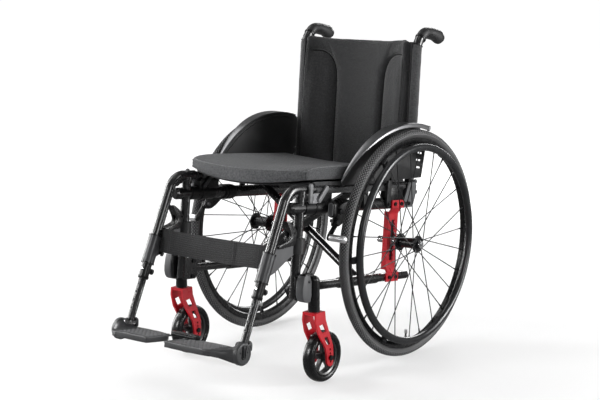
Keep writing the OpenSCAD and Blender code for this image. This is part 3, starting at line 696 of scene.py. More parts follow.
def dashes(name, runs, r, mat, segs=5):
    """many short round stitches in one mesh"""
    verts, faces = [], []
    for a, b in runs:
        t = (b - a).normalized()
        u = t.orthogonal().normalized()
        v = t.cross(u)
        o = len(verts)
        ring = [(a, 0.35), (a.lerp(b, 0.2), 1.0), (a.lerp(b, 0.8), 1.0), (b, 0.35)]
        for q, k in ring:
            verts += [q + (u * math.cos(2 * math.pi * i / segs) + v * math.sin(2 * math.pi * i / segs)) * r * k for i in range(segs)]
        for j in range(3):
            faces += [(o + j * segs + i, o + j * segs + (i + 1) % segs, o + (j + 1) * segs + (i + 1) % segs, o + (j + 1) * segs + i) for i in range(segs)]
        faces += [tuple(o + i for i in range(segs))[::-1], tuple(o + 3 * segs + i for i in range(segs))]
    return add(name, verts, faces, mat, None, angle=60)


pad = back_pad()
seat = cushion()

# seam with a fine welt along the upper edge of the cushion's border, its cloth lighter than the cover as a painted
# highlight along the edge
xs = np.linspace(-184, 184, 80)
edge = [F(float(x), float(cushion_front(x)) - 0.5, float(cushion_top(x, 0.0)) - 1.6) for x in xs]


def side_edge(g):
    out = []
    for s in np.linspace(-378, -2, 60):
        k = (s + 384) / 388
        out.append(F(g * (185.5 - 2.2 * math.sin(math.pi * k)), float(s), float(cushion_top(np.array(g * 185.0), k)) - 1.6))
    return out


on_seat, on_pad = snapper(seat), snapper(pad)
loop = on_seat(side_edge(-1)[::-1] + edge + side_edge(1), 0.0)
for _ in range(2):
    loop = [loop[0]] + [(loop[i - 1] + loop[i] * 2 + loop[i + 1]) / 4 for i in range(1, len(loop) - 1)] + [loop[-1]]
welt = surface_line(loop, 0.0012, "seat_welt", "welt")
# corner seams of the border, drawn as near-black cords that are painted shade of the pinched corners, and a row of
# stitches under the welt
trim = [welt]
for g in (1, -1):
    pts = on_seat([F(g * 186, -386, t) for t in np.linspace(284, 263, 16)], -0.0002)
    trim.append(surface_line(pts, 0.0010, "seat_corner_shade", "binding"))
runs = []
for i0 in range(2, len(loop) - 3):
    for f0 in (0.1, 0.6):
        dn = Vector((0, 0, -0.0042))
        runs.append(on_seat([loop[i0].lerp(loop[i0 + 1], f0) + dn, loop[i0].lerp(loop[i0 + 1], f0 + 0.3) + dn], 0.0001))
trim.append(dashes("seat_stitch", runs, 0.0004, "welt"))
seat = join([seat] + trim)
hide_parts("seat_cushion")
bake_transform(seat)

# front seam of the back pad's side border
lines = []
for g in (1, -1):
    pts = on_pad([F(g * 160, 20, t) for t in np.linspace(272, 612, 70)], -0.0003)
    for _ in range(4):
        pts = [pts[0]] + [(pts[i - 1] + pts[i] * 2 + pts[i + 1]) / 4 for i in range(1, len(pts) - 1)] + [pts[-1]]
    lines.append(surface_line(pts, 0.0009, "back_welt_" + ("l" if g > 0 else "r"), "back_welt"))
for g in (1, -1):
    pts = [F(g * 176.6, 50.2 - 0.016 * (t - 406.5), t) for t in np.linspace(268, 614, 40)]
    lines.append(surface_line(pts, 0.0042, "back_roll_" + ("l" if g > 0 else "r"), "back_welt", segs=14))
# dark piping in the two sewn channels: the seams, made near-black as painted shade of their creases; and a roll behind
# each outer edge that meets the post's sleeve
for g in (1, -1):
    ch = np.array(CHANNEL[:-1] + [(76, 272)], float)
    al = np.concatenate([[0], np.cumsum(np.hypot(*np.diff(ch, axis=0).T))])
    u = np.linspace(0, al[-1], 110)
    pts = on_pad([F(g * a, back_front(np.array(a)) + 7.0, b) for a, b in zip(np.interp(u, al, ch[:, 0]), np.interp(u, al, ch[:, 1]))], 0.0)
    for _ in range(6):
        pts = [pts[0]] + [(pts[i - 1] + pts[i] * 2 + pts[i + 1]) / 4 for i in range(1, len(pts) - 1)] + [pts[-1]]
    lines.append(surface_line(pts, 0.0016, "back_pipe_" + ("l" if g > 0 else "r"), "pipe", segs=10))
    pts = [F(g * 169.6, 57.5 - 0.016 * (t - 406.5), t) for t in np.linspace(268, 614, 40)]
    lines.append(surface_line(pts, 0.0052, "back_rear_roll_" + ("l" if g > 0 else "r"), "back_welt", segs=14))
pad = join([pad] + lines)
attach(pad, "left_frame")
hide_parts("backrest")
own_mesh(pad)

# sling of woven nylon under the cushion, hemmed round the seat tubes
def sling():
    n, m = 73, 60
    rows = []
    th = 1.6
    for j in range(m):
        k = j / (m - 1)
        row_t, row_b = [], []
        for i in range(n):
            x = -181 + 362 * i / (n - 1)
            q = 1 - (x / 185.0) ** 2
            s0, s1 = -364 - 44 * q, 20
            s = s0 + (s1 - s0) * k
            t = 254.5 - 13.5 * q
            rows.append((x, s, t))
    top = to_row(np.array(rows))
    rows2 = [(x, s, t - th) for x, s, t in rows]
    bot = to_row(np.array(rows2))
    ring = [i for i in range(n)] + [j * n + n - 1 for j in range(1, m)] + [(m - 1) * n + i for i in range(n - 2, -1, -1)] + [j * n for j in range(m - 2, 0, -1)]
    faces = grid_faces(n, m) + grid_faces(n, m, n * m, True)
    faces += [(ring[i], ring[(i + 1) % len(ring)], ring[(i + 1) % len(ring)] + n * m, ring[i] + n * m) for i in range(len(ring))]
    ob = loose("sling_sheet", [Vector(v) for v in np.concatenate([top, bot])], faces)
    ob.data.polygons.foreach_set("use_smooth", [True] * len(ob.data.polygons))
    ob.data.set_sharp_from_angle(angle=rad(40))
    dress(ob, "sling")
    # front and rear hem: a folded edge
    hems = []
    for nm, k in (("front", 0), ("rear", m - 1)):
        pts = [Vector(top[k * n + i]) * 0.5 + Vector(bot[k * n + i]) * 0.5 for i in range(n)]
        hems.append(tube("sling_hem_" + nm, pts, 0.0026, "binding", None, segs=10, flat=0.8))
    return ob, hems


sl, hems = sling()
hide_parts("seat_sling")
for o in [sl] + hems:
    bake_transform(o)

# cloth sleeves of the backrest on its two posts
for S, g in SIDES:
    path = [T(g * FX, 0, -128 + 313 * i / 30) for i in range(31)]
    path += [T(g * FX, 45 - 45 * math.cos(rad(w)), 185.2 + 45 * math.sin(rad(w))) for w in (6, 12, 18)]
    rr = [0.01345 + 0.00018 * math.sin(i * 1.9) + 0.00012 * math.sin(i * 0.7 + g) for i in range(len(path))]
    rr[-1] += 0.0006
    sv = tube(S + "_back_sleeve", path, rr, "sleeve", S + "_frame", segs=36, caps=False)
    so = sv.modifiers.new("thick", "SOLIDIFY")
    so.thickness = 0.0012
    so.offset = -1
    hem = tube(S + "_sleeve_hem", [path[-1] - (path[-1] - path[-2]) * 0.3, path[-1]], [rr[-1] + 0.0007] * 2, "binding", S + "_frame", segs=36, caps=False)
    hs = hem.modifiers.new("thick", "SOLIDIFY")
    hs.thickness = 0.0014
    hs.offset = -1

# calf strap: one wide webbing band in two overlapping lengths, each looped round its own bar
def strap(g, x_end, lift, name):
    """band from the bar on side g to x_end; lift is how far it lies in front of the other length"""
    bar = g * 172.0
    path = [(bar - g * 26, 6.6), (bar - g * 10, 6.4)]
    path += [(bar - g * 0 + g * 6.0 * math.sin(w), 6.0 * math.cos(w)) for w in np.linspace(0.1, math.pi - 0.1, 12)]
    nn = 40
    for i in range(nn + 1):
        x = bar - g * 8 + (x_end - (bar - g * 8)) * i / nn
        dip = 1.2 * (1 - (x / 172.0) ** 2)
        path.append((x, -6.6 - lift * min(1, i / 12) + dip))
    verts, faces = [], []
    T0, T1, cols = 50.0, 107.0, 13
    # arc length for the thickness direction
    P2 = [Vector((p[0], p[1])) for p in path]
    for i, p in enumerate(P2):
        d = (P2[min(i + 1, len(P2) - 1)] - P2[max(i - 1, 0)]).normalized()
        nrm = Vector((-d.y, d.x)) * 1.0
        for sg in (-1, 1):
            for c in range(cols):
                t = T0 + (T1 - T0) * c / (cols - 1)
                q = p + nrm * sg * 1.05
                sag = -2.0 * (1 - (p.x / 172.0) ** 2)
                verts.append(F(q.x, -490.5 + q.y + (t - 75) * 0.0986, t + sag))
    nc = 2 * cols
    N = len(P2)
    for i in range(N - 1):
        for c in range(cols - 1):
            faces.append((i * nc + c, i * nc + c + 1, (i + 1) * nc + c + 1, (i + 1) * nc + c))
            faces.append((i * nc + cols + c, (i + 1) * nc + cols + c, (i + 1) * nc + cols + c + 1, i * nc + cols + c + 1))
        faces.append((i * nc, (i + 1) * nc, (i + 1) * nc + cols, i * nc + cols))
        faces.append((i * nc + cols - 1, i * nc + nc - 1, (i + 1) * nc + nc - 1, (i + 1) * nc + cols - 1))
    for i in (0, N - 1):
        for c in range(cols - 1):
            faces.append((i * nc + c, i * nc + c + 1, i * nc + cols + c + 1, i * nc + cols + c))
    ob = add(name, verts, faces, "web", None, angle=50)
    rows = []
    for xs_ in (x_end + g * 4, x_end + g * 9, bar - g * 24, bar - g * 29):
        x = xs_
        dip = 1.2 * (1 - (x / 172.0) ** 2)
        pts = []
        for c in range(30):
            t = T0 + 3 + (T1 - T0 - 6) * c / 29
            sag = -2.0 * (1 - (x / 172.0) ** 2)
            front = -6.6 - (lift if abs(x - bar) > 70 else lift * abs(x - bar) / 70) + dip - 1.25 - 0.25 * (c % 2)
            pts.append(F(x + 0.35 * (c % 2), -490.5 + front + (t - 75) * 0.0986, t + sag))
        rows.append(tube(name + "_stitch", pts, 0.0005, "thread", None, segs=6))
    ob = join([ob] + rows)
    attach(ob, ("left" if g > 0 else "right") + "_legrest")
    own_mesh(ob)
    return ob


st_r = strap(-1, 92, 0.0, "calf_band_right")
st_l = strap(1, 62, 2.6, "calf_band_left")
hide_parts("calf_strap")

# ------------------------------------------------------------------ hard pieces in their own shapes
M.update({
    "cast": material("cast_grey", (0.058, 0.059, 0.062), 0.22, (0.40, 0.55), spec=0.4, grain=900, bump=0.3, depth=0.0004),
    "hook": material("hook_grey", (0.115, 0.116, 0.120), 0.22, (0.38, 0.52), spec=0.45, grain=1100, bump=0.25, depth=0.0004),
    "pale": material("pale_grey", (0.20, 0.20, 0.208), 0.2, (0.45, 0.6), spec=0.4, grain=1100, bump=0.25, depth=0.0004),
    "silver": material("fluted_silver", (0.80, 0.80, 0.81), 0.08, (0.26, 0.40), metal=0.85, grain=900, bump=0.05, depth=0.0002),
    "plate": material("plate_grey", (0.030, 0.0305, 0.032), 0.22, (0.36, 0.52), spec=0.4, grain=1300, bump=0.35, depth=0.0004),
    "stud": material("stud_grey", (0.060, 0.061, 0.064), 0.22, (0.36, 0.5), spec=0.45, grain=1300, bump=0.3, depth=0.0004),
    "tread": material("tyre_tread", (0.125, 0.125, 0.128), 0.25, (0.55, 0.7), spec=0.35, grain=900, bump=0.25, depth=0.0004),
    # light grey for the lozenge tops: painted highlight of their glossy tops
    "tile": material("plate_tile_highlight", (0.135, 0.136, 0.140), 0.2, (0.32, 0.46), spec=0.55, grain=1300, bump=0.2, depth=0.0003),
    # near-black for the tread grooves: painted shade in the recesses
    "groove": material("tyre_groove_shade", (0.006, 0.006, 0.0063), 0.25, (0.6, 0.75), spec=0.25, grain=900, bump=0.25, depth=0.0004),
    "lever": material("lever_black", (0.0085, 0.0085, 0.009), 0.25, (0.22, 0.32), spec=0.5, grain=1100, bump=0.1, depth=0.0003),
    "slv": fabric("sling_sleeve", (0.030, 0.0305, 0.032), (0.048, 0.0485, 0.05), scale=460, bump=0.5, sheen=0.2, rough=0.8),
})


def as_np(name, verts, faces, mat, body, angle=40):
    """large mesh straight from arrays"""
    me = bpy.data.meshes.new(name)
    me.from_pydata([tuple(v) for v in verts], [], [tuple(f) for f in faces])
    me.update()
    smooth_by_angle(me, angle)
    ob = bpy.data.objects.new(name, me)
    scene.collection.objects.link(ob)
    me.materials.append(M[mat])
    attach(ob, body)
    return ob


def fuse(obs, body, slot, *nodes):
    """several made meshes into one piece on a body, standing for CAD nodes"""
    dep = bpy.context.evaluated_depsgraph_get()
    mats, verts, faces, idx, smooth = [], [], [], [], []
    name = obs[0].name
    for o in obs:
        ev = o.evaluated_get(dep)
        me = ev.to_mesh()
        base = len(verts)
        verts += [v.co.copy() for v in me.vertices]
        loc = []
        for m in o.data.materials:
            if m not in mats:
                mats.append(m)
            loc.append(mats.index(m))
        for p in me.polygons:
            faces.append(tuple(base + k for k in p.vertices))
            idx.append(loc[p.material_index])
        ev.to_mesh_clear()
    for o in obs:
        bpy.data.objects.remove(o, do_unlink=True)
    me = bpy.data.meshes.new(name)
    me.from_pydata(verts, [], faces)
    me.update()
    for m in mats:
        me.materials.append(m)
    me.polygons.foreach_set("material_index", idx)
    smooth_by_angle(me, 38)
    ob = bpy.data.objects.new(name, me)
    scene.collection.objects.link(ob)
    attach(ob, body)
    if nodes:
        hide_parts(*nodes)
    return ob


def paint(node, rules):
    """per-face finish of a CAD node, chosen by where the face lies (side-frame mm, x taken positive)"""
    o = NODES[node]
    me = o.data
    c = np.empty(len(me.polygons) * 3)
    me.polygons.foreach_get("center", c)
    mw = np.array(o.matrix_world)
    w = c.reshape(-1, 3) @ mw[:3, :3].T + mw[:3, 3]
    q = to_local(w)
    q[:, 0] = abs(q[:, 0])
    idx = np.zeros(len(me.polygons), int)
    for mt, fn in rules:
        me.materials.append(M[mt])
        idx[fn(q, w)] = len(me.materials) - 1
    me.polygons.foreach_set("material_index", idx.tolist())


def rounded(outline, n=2):
    """corner cutting of a closed outline"""
    for _ in range(n):
        out = []
        for (a, b), (c, d) in zip(outline, outline[1:] + outline[:1]):
            out += [(a * 0.75 + c * 0.25, b * 0.75 + d * 0.25), (a * 0.25 + c * 0.75, b * 0.25 + d * 0.75)]
        outline = out
    return outline


def stadium(p, q, r0, r1=None, n=10):
    """outline of a round-ended bar from p to q with end radii r0 and r1"""
    r1 = r1 or r0
    a = math.atan2(q[1] - p[1], q[0] - p[0])
    out = [(p[0] + r0 * math.cos(a + math.pi / 2 + math.pi * k / n), p[1] + r0 * math.sin(a + math.pi / 2 + math.pi * k / n)) for k in range(n + 1)]
    out += [(q[0] + r1 * math.cos(a - math.pi / 2 + math.pi * k / n), q[1] + r1 * math.sin(a - math.pi / 2 + math.pi * k / n)) for k in range(n + 1)]
    return out


def catmull(pts, n=6):
    p = [np.array(v, float) for v in pts]
    p = [2 * p[0] - p[1]] + p + [2 * p[-1] - p[-2]]
    out = []
    for i in range(1, len(p) - 2):
        for k in range(n):
            t = k / n
            out.append(0.5 * (2 * p[i] + (p[i + 1] - p[i - 1]) * t + (2 * p[i - 1] - 5 * p[i] + 4 * p[i + 1] - p[i + 2]) * t * t + (3 * p[i] - p[i - 1] - 3 * p[i + 1] + p[i + 2]) * t ** 3))
    return out + [p[-2]]


def ringed(name, rings, mat, caps=True, **kw):
    n = len(rings[0])
    verts = [v for r in rings for v in r]
    faces = []
    for i in range(len(rings) - 1):
        faces += [(i * n + k, i * n + (k + 1) % n, (i + 1) * n + (k + 1) % n, (i + 1) * n + k) for k in range(n)]
    if caps:
        faces += [tuple(range(n))[::-1], tuple((len(rings) - 1) * n + k for k in range(n))]
    return add(name, verts, faces, mat, None, **kw)


def swap(fn):
    """extrusion along the tubes instead of across: outlines are (x, t)"""
    return lambda h, a, b: fn(a, h, b)


def saddle(hw, t0, t1, r_low=15.1, r_up=11.5, c_low=194.0, c_up=238.5):
    """block between the upper tube and the seat tube, hollowed for both: outline in (x - 184, t)"""
    a = math.acos(min(1, (t0 - c_low) / r_low))
    out = [(FX - hw, t0)] + [(FX + r_low * math.sin(-a + 2 * a * k / 14), c_low + r_low * math.cos(-a + 2 * a * k / 14)) for k in range(15)] + [(FX + hw, t0), (FX + hw, t1)]
    b = math.acos(min(1, max(-1, (c_up - t1) / r_up)))
    out += [(FX + r_up * math.sin(b - 2 * b * k / 14), c_up - r_up * math.cos(b - 2 * b * k / 14)) for k in range(15)] + [(FX - hw, t1)]
    return out


def cut(ob, cutters):
    """boolean difference, applied at once"""
    for c in cutters:
        m = ob.modifiers.new("cut", "BOOLEAN")
        m.operation = "DIFFERENCE"
        m.solver = "EXACT"
        m.object = c
    dep = bpy.context.evaluated_depsgraph_get()
    me = bpy.data.meshes.new_from_object(ob.evaluated_get(dep))
    ob.modifiers.clear()
    ob.data = me
    for c in cutters:
        bpy.data.objects.remove(c, do_unlink=True)


FDIR = F(0, 1000, 0) - F(0, 0, 0)
FUP = F(0, 0, 1000) - F(0, 0, 0)
SIN20, COS20 = math.sin(rad(20)), math.cos(rad(20))
hang_l = lambda q: -(q[:, 1] + 452.3) * SIN20 - (q[:, 2] - 240) * COS20
hang_d = lambda q: np.hypot(q[:, 0] - FX, (q[:, 1] + 452.3) * COS20 - (q[:, 2] - 240) * SIN20)

for S, g in SIDES:
    fr, wh = S + "_frame", S + "_wheel"
    Fg, Pg = side(F, g), side(P, g)

    # ---- rear tyre with a fine diamond tread, plain side walls
    N_, m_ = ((2160, 46))
    th = np.linspace(-rad(137.5), rad(137.5), m_)
    ph = 2 * math.pi * np.arange(N_) / N_
    TH, PH = np.meshgrid(th, ph)
    tri = lambda v: abs((v % 1) - 0.5) * 2
    a_, b_ = PH * 216 / (2 * math.pi), TH * 12.5 / 7.6
    gr = np.maximum(np.clip((tri(a_ + b_) - 0.66) / 0.16, 0, 1), np.clip((tri(a_ - b_) - 0.66) / 0.16, 0, 1))
    fade = np.clip((rad(88) - abs(TH)) / rad(10), 0, 1)
    rr_ = 12.5 - 0.75 * gr * fade - 0.35 * np.clip((abs(TH) - rad(90)) / rad(5), 0, 1) * np.clip((rad(122) - abs(TH)) / rad(5), 0, 1)
    RR, XX = 282.5 + rr_ * np.cos(TH), rr_ * np.sin(TH)
    vx = np.stack([g * (WX + XX), RR * np.cos(PH), 295 + RR * np.sin(PH)], -1).reshape(-1, 3) / 1000
    vx[:, 1] += AY
    i_, k_ = np.meshgrid(np.arange(N_), np.arange(m_), indexing="ij")
    j_, l_ = (i_ + 1) % N_, (k_ + 1) % m_
    fc = np.stack([i_ * m_ + k_, i_ * m_ + l_, j_ * m_ + l_, j_ * m_ + k_], -1).reshape(-1, 4)
    ty = as_np(S + "_tyre_tread", vx.tolist(), (fc if g < 0 else fc[:, ::-1]).tolist(), "tyre", wh, angle=32)
    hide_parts(S + "_tyre")
    ty.data.materials.append(M["tread"])
    ty.data.materials.append(M["groove"])
    # faces deep in the grooves take the near-black groove finish, painted shade in the recesses; the crown takes the
    # tread grey
    gm = (gr * fade)
    gf = (gm + np.roll(gm, -1, 0) + np.roll(gm, -1, 1) + np.roll(np.roll(gm, -1, 0), -1, 1)) / 4
    ty.data.polygons.foreach_set("material_index", np.where(gf > 0.34, 2, np.where(abs(TH) < rad(84), 1, 0)).reshape(-1).astype(int).tolist())

    # ---- laced spokes with heads and nipples
    parts, turn = [], 360 / 14
    for sd in (1, -1):
        for i in range(14):
            a = rad(i * turn + (turn / 2 if sd > 0 else 0))
            b = a + rad((2 if i % 2 == 0 else -2) * turn)
            hx = sd * (30.6 if i % 2 == 0 else 23.3)
            p0 = Pg(WX + hx, 19 * math.cos(a), 295 + 19 * math.sin(a))
            p1 = Pg(WX + sd * 2.5, 256.7 * math.cos(b), 295 + 256.7 * math.sin(b))
            d = (p1 - p0).normalized()
            pin = Pg(WX + sd * 26.8, 19 * math.cos(a), 295 + 19 * math.sin(a))
            parts.append(tube(S + "_spoke_set", [pin, p0 + (pin - p0) * 0.25, p0 + d * 0.002, p0.lerp(p1, 0.5), p1], 0.00135, "spoke", None, segs=8))
            parts.append(tube("nipple", [p1 - d * 0.012, p1 - d * 0.0085, p1 - d * 0.003, p1], [0.0016, 0.0020, 0.0022, 0.0026], "bolt", None, segs=8))
    fuse(parts, wh, "spoke_steel", S + "_spokes")
    # valve of the inner tube, with cap and ring
    va = rad(267.4)
    vc = lambda r_: Pg(WX, r_ * math.cos(va), 295 + r_ * math.sin(va))
    fuse([tube(S + "_valve", [vc(258), vc(246), vc(245), vc(236)], [0.0033, 0.0033, 0.0026, 0.0026], "bolt", None, segs=14),
          tube("valve_cap", [vc(238), vc(237), vc(228), vc(227)], [0.0034, 0.0040, 0.0040, 0.003], "silver", None, segs=14)], wh, "spoke_steel")
    # ---- castor: slim glossy tyre on an open five-spoke wheel
    cc = Pg(CX, -334.8, 63.8)
    tp = [(54.2 + 9.55 * math.copysign(abs(math.cos(w)) ** 0.82, math.cos(w)), 15.2 * math.copysign(abs(math.sin(w)) ** 0.82, math.sin(w))) for w in [2 * math.pi * k / 40 for k in range(40)]]
    ct = revolve(S + "_castor_tread", tp, cc, (1, 0, 0), "castor", None, segs=120, angle=50)
    fuse([ct], S + "_castor_wheel", "castor_rubber", S + "_castor_tyre")
    hb = [revolve(S + "_castor_spider", [(41.2, -9.5), (45.6, -11.5), (45.6, 11.5), (41.2, 9.5), (40.4, 6), (40.4, -6)], cc, (1, 0, 0), "gloss", None, segs=96),
          revolve("castor_nave", [(4.2, -18.4), (9.5, -18.4), (10.6, -17.2), (12.2, -8), (12.2, 8), (10.6, 17.2), (9.5, 18.4), (4.2, 18.4)], cc, (1, 0, 0), "gloss", None, segs=48),
          revolve("castor_bearing", [(4.2, -18.7), (8.2, -18.7), (8.2, 18.7), (4.2, 18.7)], cc, (1, 0, 0), "satin", None, segs=40)]
    for i in range(5):
        w0 = rad(90 + 72 * i)
        q = []
        for r_, hw in ((10.5, 5.6), (20, 3.8), (31, 3.6), (42, 6.2)):
            q.append((r_, hw))
        ol = [(r_, hw) for r_, hw in q] + [(r_, -hw) for r_, hw in q[::-1]]
        pt = lambda h, r_, t_, w0=w0: Pg(CX + h, -334.8 + r_ * math.cos(w0) - t_ * math.sin(w0), 63.8 + r_ * math.sin(w0) + t_ * math.cos(w0))
        hb.append(prism("castor_arm", ol, (-5.5, 5.5), pt, "gloss", None, bev=0.0012, segs=3))
    fuse(hb, S + "_castor_wheel", "black_plastic", S + "_castor_hub")

    # ---- push grip: a hooked pistol shape with a collar
    key = [(136, 813, 12.9, 12.9), (146, 821, 14.3, 14.1), (158, 826, 14.3, 14.0), (175, 826.2, 13.9, 13.6), (192, 822.5, 15.4, 14.5), (208, 816.5, 17.8, 15.0), (221, 812, 19.0, 14.6), (231, 809.5, 15.5, 11.5), (236, 808.5, 8.5, 6.5), (237.4, 808.2, 2.5, 2.0)]
    cur = catmull(key, 6)
    rings = []
    for i, q in enumerate(cur):
        d = cur[min(i + 1, len(cur) - 1)][:2] - cur[max(i - 1, 0)][:2]
        d = d / np.linalg.norm(d)
        rings.append([Pg(FX + q[3] * math.cos(w), q[0] - d[1] * q[2] * math.sin(w), q[1] + d[0] * q[2] * math.sin(w)) for w in [2 * math.pi * k / 32 for k in range(32)]])
    gp = [ringed(S + "_grip", rings, "grip", angle=50)]
    gd = P(0, 146, 821) - P(0, 136, 813)
    gp.append(revolve("grip_collar", [(12.6, -4), (14.6, -3.4), (15.0, -1.5), (15.0, 1), (14.4, 2.4), (12.6, 2.6)], Pg(FX, 137, 813.8), gd, "black", None, segs=36))
    # soft finger ribs under the grip
    for y_, z_ in ((150, 823.2), (158, 825.9), (166, 826.4), (174, 826.2)):
        gp.append(tube("grip_rib", [Pg(FX + 14.15 * math.cos(w), y_, z_ + 14.35 * math.sin(w)) for w in np.linspace(rad(195), rad(345), 16)], 0.0009, "grip", None, segs=8))
    fuse(gp, fr, "grip_rubber", S + "_push_grip")

    # ---- castor bracket: rounded cover in front of the housing, dark cap, web to the upright
    cov = rounded([(-386, 279), (-413, 279), (-418, 270), (-424, 238), (-420, 219), (-407, 211), (-386, 210)], 1)
    cb = [prism(S + "_castor_cover", cov, (204.2, 226.4), Pg, "cast", None, bev=0.003, segs=4),
          prism("cover_web", [(-418, 216), (-368, 214), (-368, 276), (-418, 274)], (196.6, 204.6), Pg, "black", None, bev=0.0012),
          prism("cover_cap", [(-380, 275.5), (-409, 277.5), (-409, 280.5), (-380, 280)], (206.5, 225), Pg, "black", None, bev=0.0012),
          tube("cover_screw", [Pg(226.0, -397, 262), Pg(227.8, -397, 262)], 0.004, "bolt", None, segs=6, bev=0.0004)]
    fuse(cb, fr, "grey_plastic", S + "_castor_bracket")
    # castor axle, ring where the stem enters the housing included, in the black bolt finish
    NODES[S + "_castor_axle"].data.materials[0] = M["bolt"]

    # ---- release lever: open hook
    rl = rounded([(-486, 101), (-476, 100.5), (-455, 103.5), (-433, 105.5), (-423.4, 108.5), (-421.8, 116), (-418.5, 124), (-417, 133), (-420, 141), (-428, 149.5), (-440, 158), (-452, 165), (-459, 166.5), (-458, 161), (-452, 151), (-445, 141.5), (-440.5, 133), (-440.5, 125), (-446, 119.5), (-462, 114.5), (-482, 109.5)], 1)
    lv = [prism(S + "_release_hook", rl, (FX - 10.5, FX - 4.4), Fg, "lever", None, bev=0.0022, segs=3),
          prism("hook_out", rl, (FX + 4.4, FX + 10.5), Fg, "lever", None, bev=0.0022, segs=3),
          prism("hook_web", [(-484, 104.5), (-471, 105.5), (-455, 112.5), (-441.2, 119), (-441.2, 124.2), (-446.4, 119.3), (-462, 114.2), (-481.6, 109)], (FX - 6, FX + 6), Fg, "lever", None, bev=0.0006),
          prism("hook_web2", [(-440, 137.5), (-436.5, 139.5), (-431.5, 146.2), (-440, 157), (-452, 164), (-457.6, 165.2), (-456.8, 161), (-451.2, 151), (-444.6, 142)], (FX - 6, FX + 6), Fg, "lever", None, bev=0.0006),
          tube("hook_pin", [Fg(FX - 12, -425, 136), Fg(FX + 12, -425, 136)], 0.0030, "bolt", None, segs=18, bev=0.0004)]
    fuse(lv, S + "_leg_latch", "grey_plastic", S + "_release_lever")

    # ---- hanger: finish by place; extras
    paint(S + "_hanger", [
        ("cast", lambda q, w: (abs(q[:, 0] - FX) < 4.2) & (hang_d(q) > 15.5) & (q[:, 2] < 137) & (q[:, 1] < -420.5)),
        ("satin", lambda q, w: (hang_l(q) > 159) & (hang_l(q) < 231.6) & (hang_d(q) < 16.2)),
        ("dark", lambda q, w: (np.hypot(q[:, 0] - FX, q[:, 1] + 403) < 18.7) & (q[:, 2] > 84) & (q[:, 2] < 123)),
        ("black", lambda q, w: (hang_l(q) > 231.4) & (hang_d(q) < 13)),
    ])
    lg = S + "_legrest"
    hl = lambda l, off=0.0, x=FX: Fg(x, -452.3 - SIN20 * l + COS20 * off, 240 - COS20 * l - SIN20 * off)
    hd = (hl(100) - hl(0)).normalized()
    ex = [revolve(S + "_hanger_rings", [(12.4, 0), (17.0, 0.6), (17.0, 4.4), (12.4, 5)], hl(158), hd, "black", None, segs=40),
          revolve("ring2", [(12.4, 0), (16.9, 0.6), (16.9, 3.4), (12.4, 4)], hl(229), hd, "black", None, segs=40),
          revolve("ring3", [(9.7, 0), (13.6, 0.5), (13.6, 6), (12.6, 7.5), (9.7, 8)], hl(264), hd, "black", None, segs=40),
          tube("clamp_stud", [hl(248, 11), hl(248, 17), hl(248, 17.6), hl(248, 25), hl(248, 26)], [0.004, 0.004, 0.0072, 0.0072, 0.006], "dark", None, segs=20),
          tube("clamp_bolt", [hl(248, -12.2), hl(248, -15)], 0.0045, "steel", None, segs=6, bev=0.0005)]
    fuse(ex, lg, "black_plastic")
    # bright rims round the extension tube's adjustment holes, and a black disc sunk in each hole as painted shade of
    # its depth
    rims = []
    for l in range(286, 350, 21):
        c0, fwd = hl(l, -9.3), (hl(l, -10) - hl(l, 0)).normalized()
        lat, verts, faces = hd.cross(fwd), [], []
        for i in range(28):
            w = 2 * math.pi * i / 28
            for r_, h_ in ((3.0, -0.9), (3.0, 0.0), (3.4, 0.03), (3.8, 0.03), (4.2, 0.0), (4.2, -0.9)):
                f_ = r_ * math.sin(w) / 9.5
                verts.append(hl(l) + hd * (r_ * math.cos(w) / 1000) + (fwd * math.cos(f_) + lat * math.sin(f_)) * ((9.5 + h_) / 1000))
            faces += [(i * 6 + k, i * 6 + (k + 1) % 6, (i + 1) % 28 * 6 + (k + 1) % 6, (i + 1) % 28 * 6 + k) for k in range(6)]
        rims.append(add(S + "_hole_rims", verts, faces, "hook", None))
        rims.append(revolve("hole_shade_disc", [(0.05, -1.6), (2.95, -1.6), (2.95, -2.2), (0.05, -2.2)], c0, fwd, "black", None, segs=20))
    fuse(rims, S + "_leg_tube", "bright_steel")

    # ---- seat-tube rests and brake mount
    cl = [prism(S + "_seat_hooks", stadium((-382.2, 212), (-382.8, 248.5), 6.2, 6.8), (196.9, 203.9), Fg, "hook", None, bev=0.0026, segs=4),
          prism("hook_b", stadium((-347, 213), (-320, 242), 6.6, 7.0), (196.9, 203.9), Fg, "hook", None, bev=0.0026, segs=4),
          prism("hook_c", rounded([(-378, 206), (-371.5, 210.5), (-369, 217), (-371.5, 224), (-378, 229), (-349, 229), (-355.5, 224), (-358, 217), (-355.5, 210.5), (-349, 206)], 1), (190, 200), Fg, "pale", None, bev=0.0012),
          prism("hook_in", stadium((-352, 212), (-330, 236), 6.0), (164.6, 171.2), Fg, "dark", None, bev=0.0024, segs=4),
          prism("rest_front", saddle(13.2, 205, 231), (-366, -292), swap(Fg), "black", None, bev=0.0010),
          prism("rest_rear", saddle(15, 199, 236), (-44, 16), swap(Fg), "black", None, bev=0.0016)]
    for k in range(4):
        cl.append(tube("spool_rib", [Fg(200.1, -373 + k * 1.2, 209 + 5.2 * k), Fg(200.1, -354 - k * 1.2, 209 + 5.2 * k)], 0.0011, "pale", None, segs=8))
    cl.append(revolve("rest_collar", [(15.1, 0), (17.4, 0.8), (17.4, 38), (19.2, 38.8), (19.2, 43.2), (17.4, 44), (17.4, 88), (15.1, 88.8)], Fg(FX, -394, 194), FDIR, "black", None, segs=48))
    cl.append(revolve("brake_collar", [(15.1, 0), (18.2, 0.8), (18.2, 9), (20, 10), (20, 30), (18.2, 31), (18.2, 41.2), (15.1, 42)], Fg(FX, -263, 194), FDIR, "black", None, segs=48))
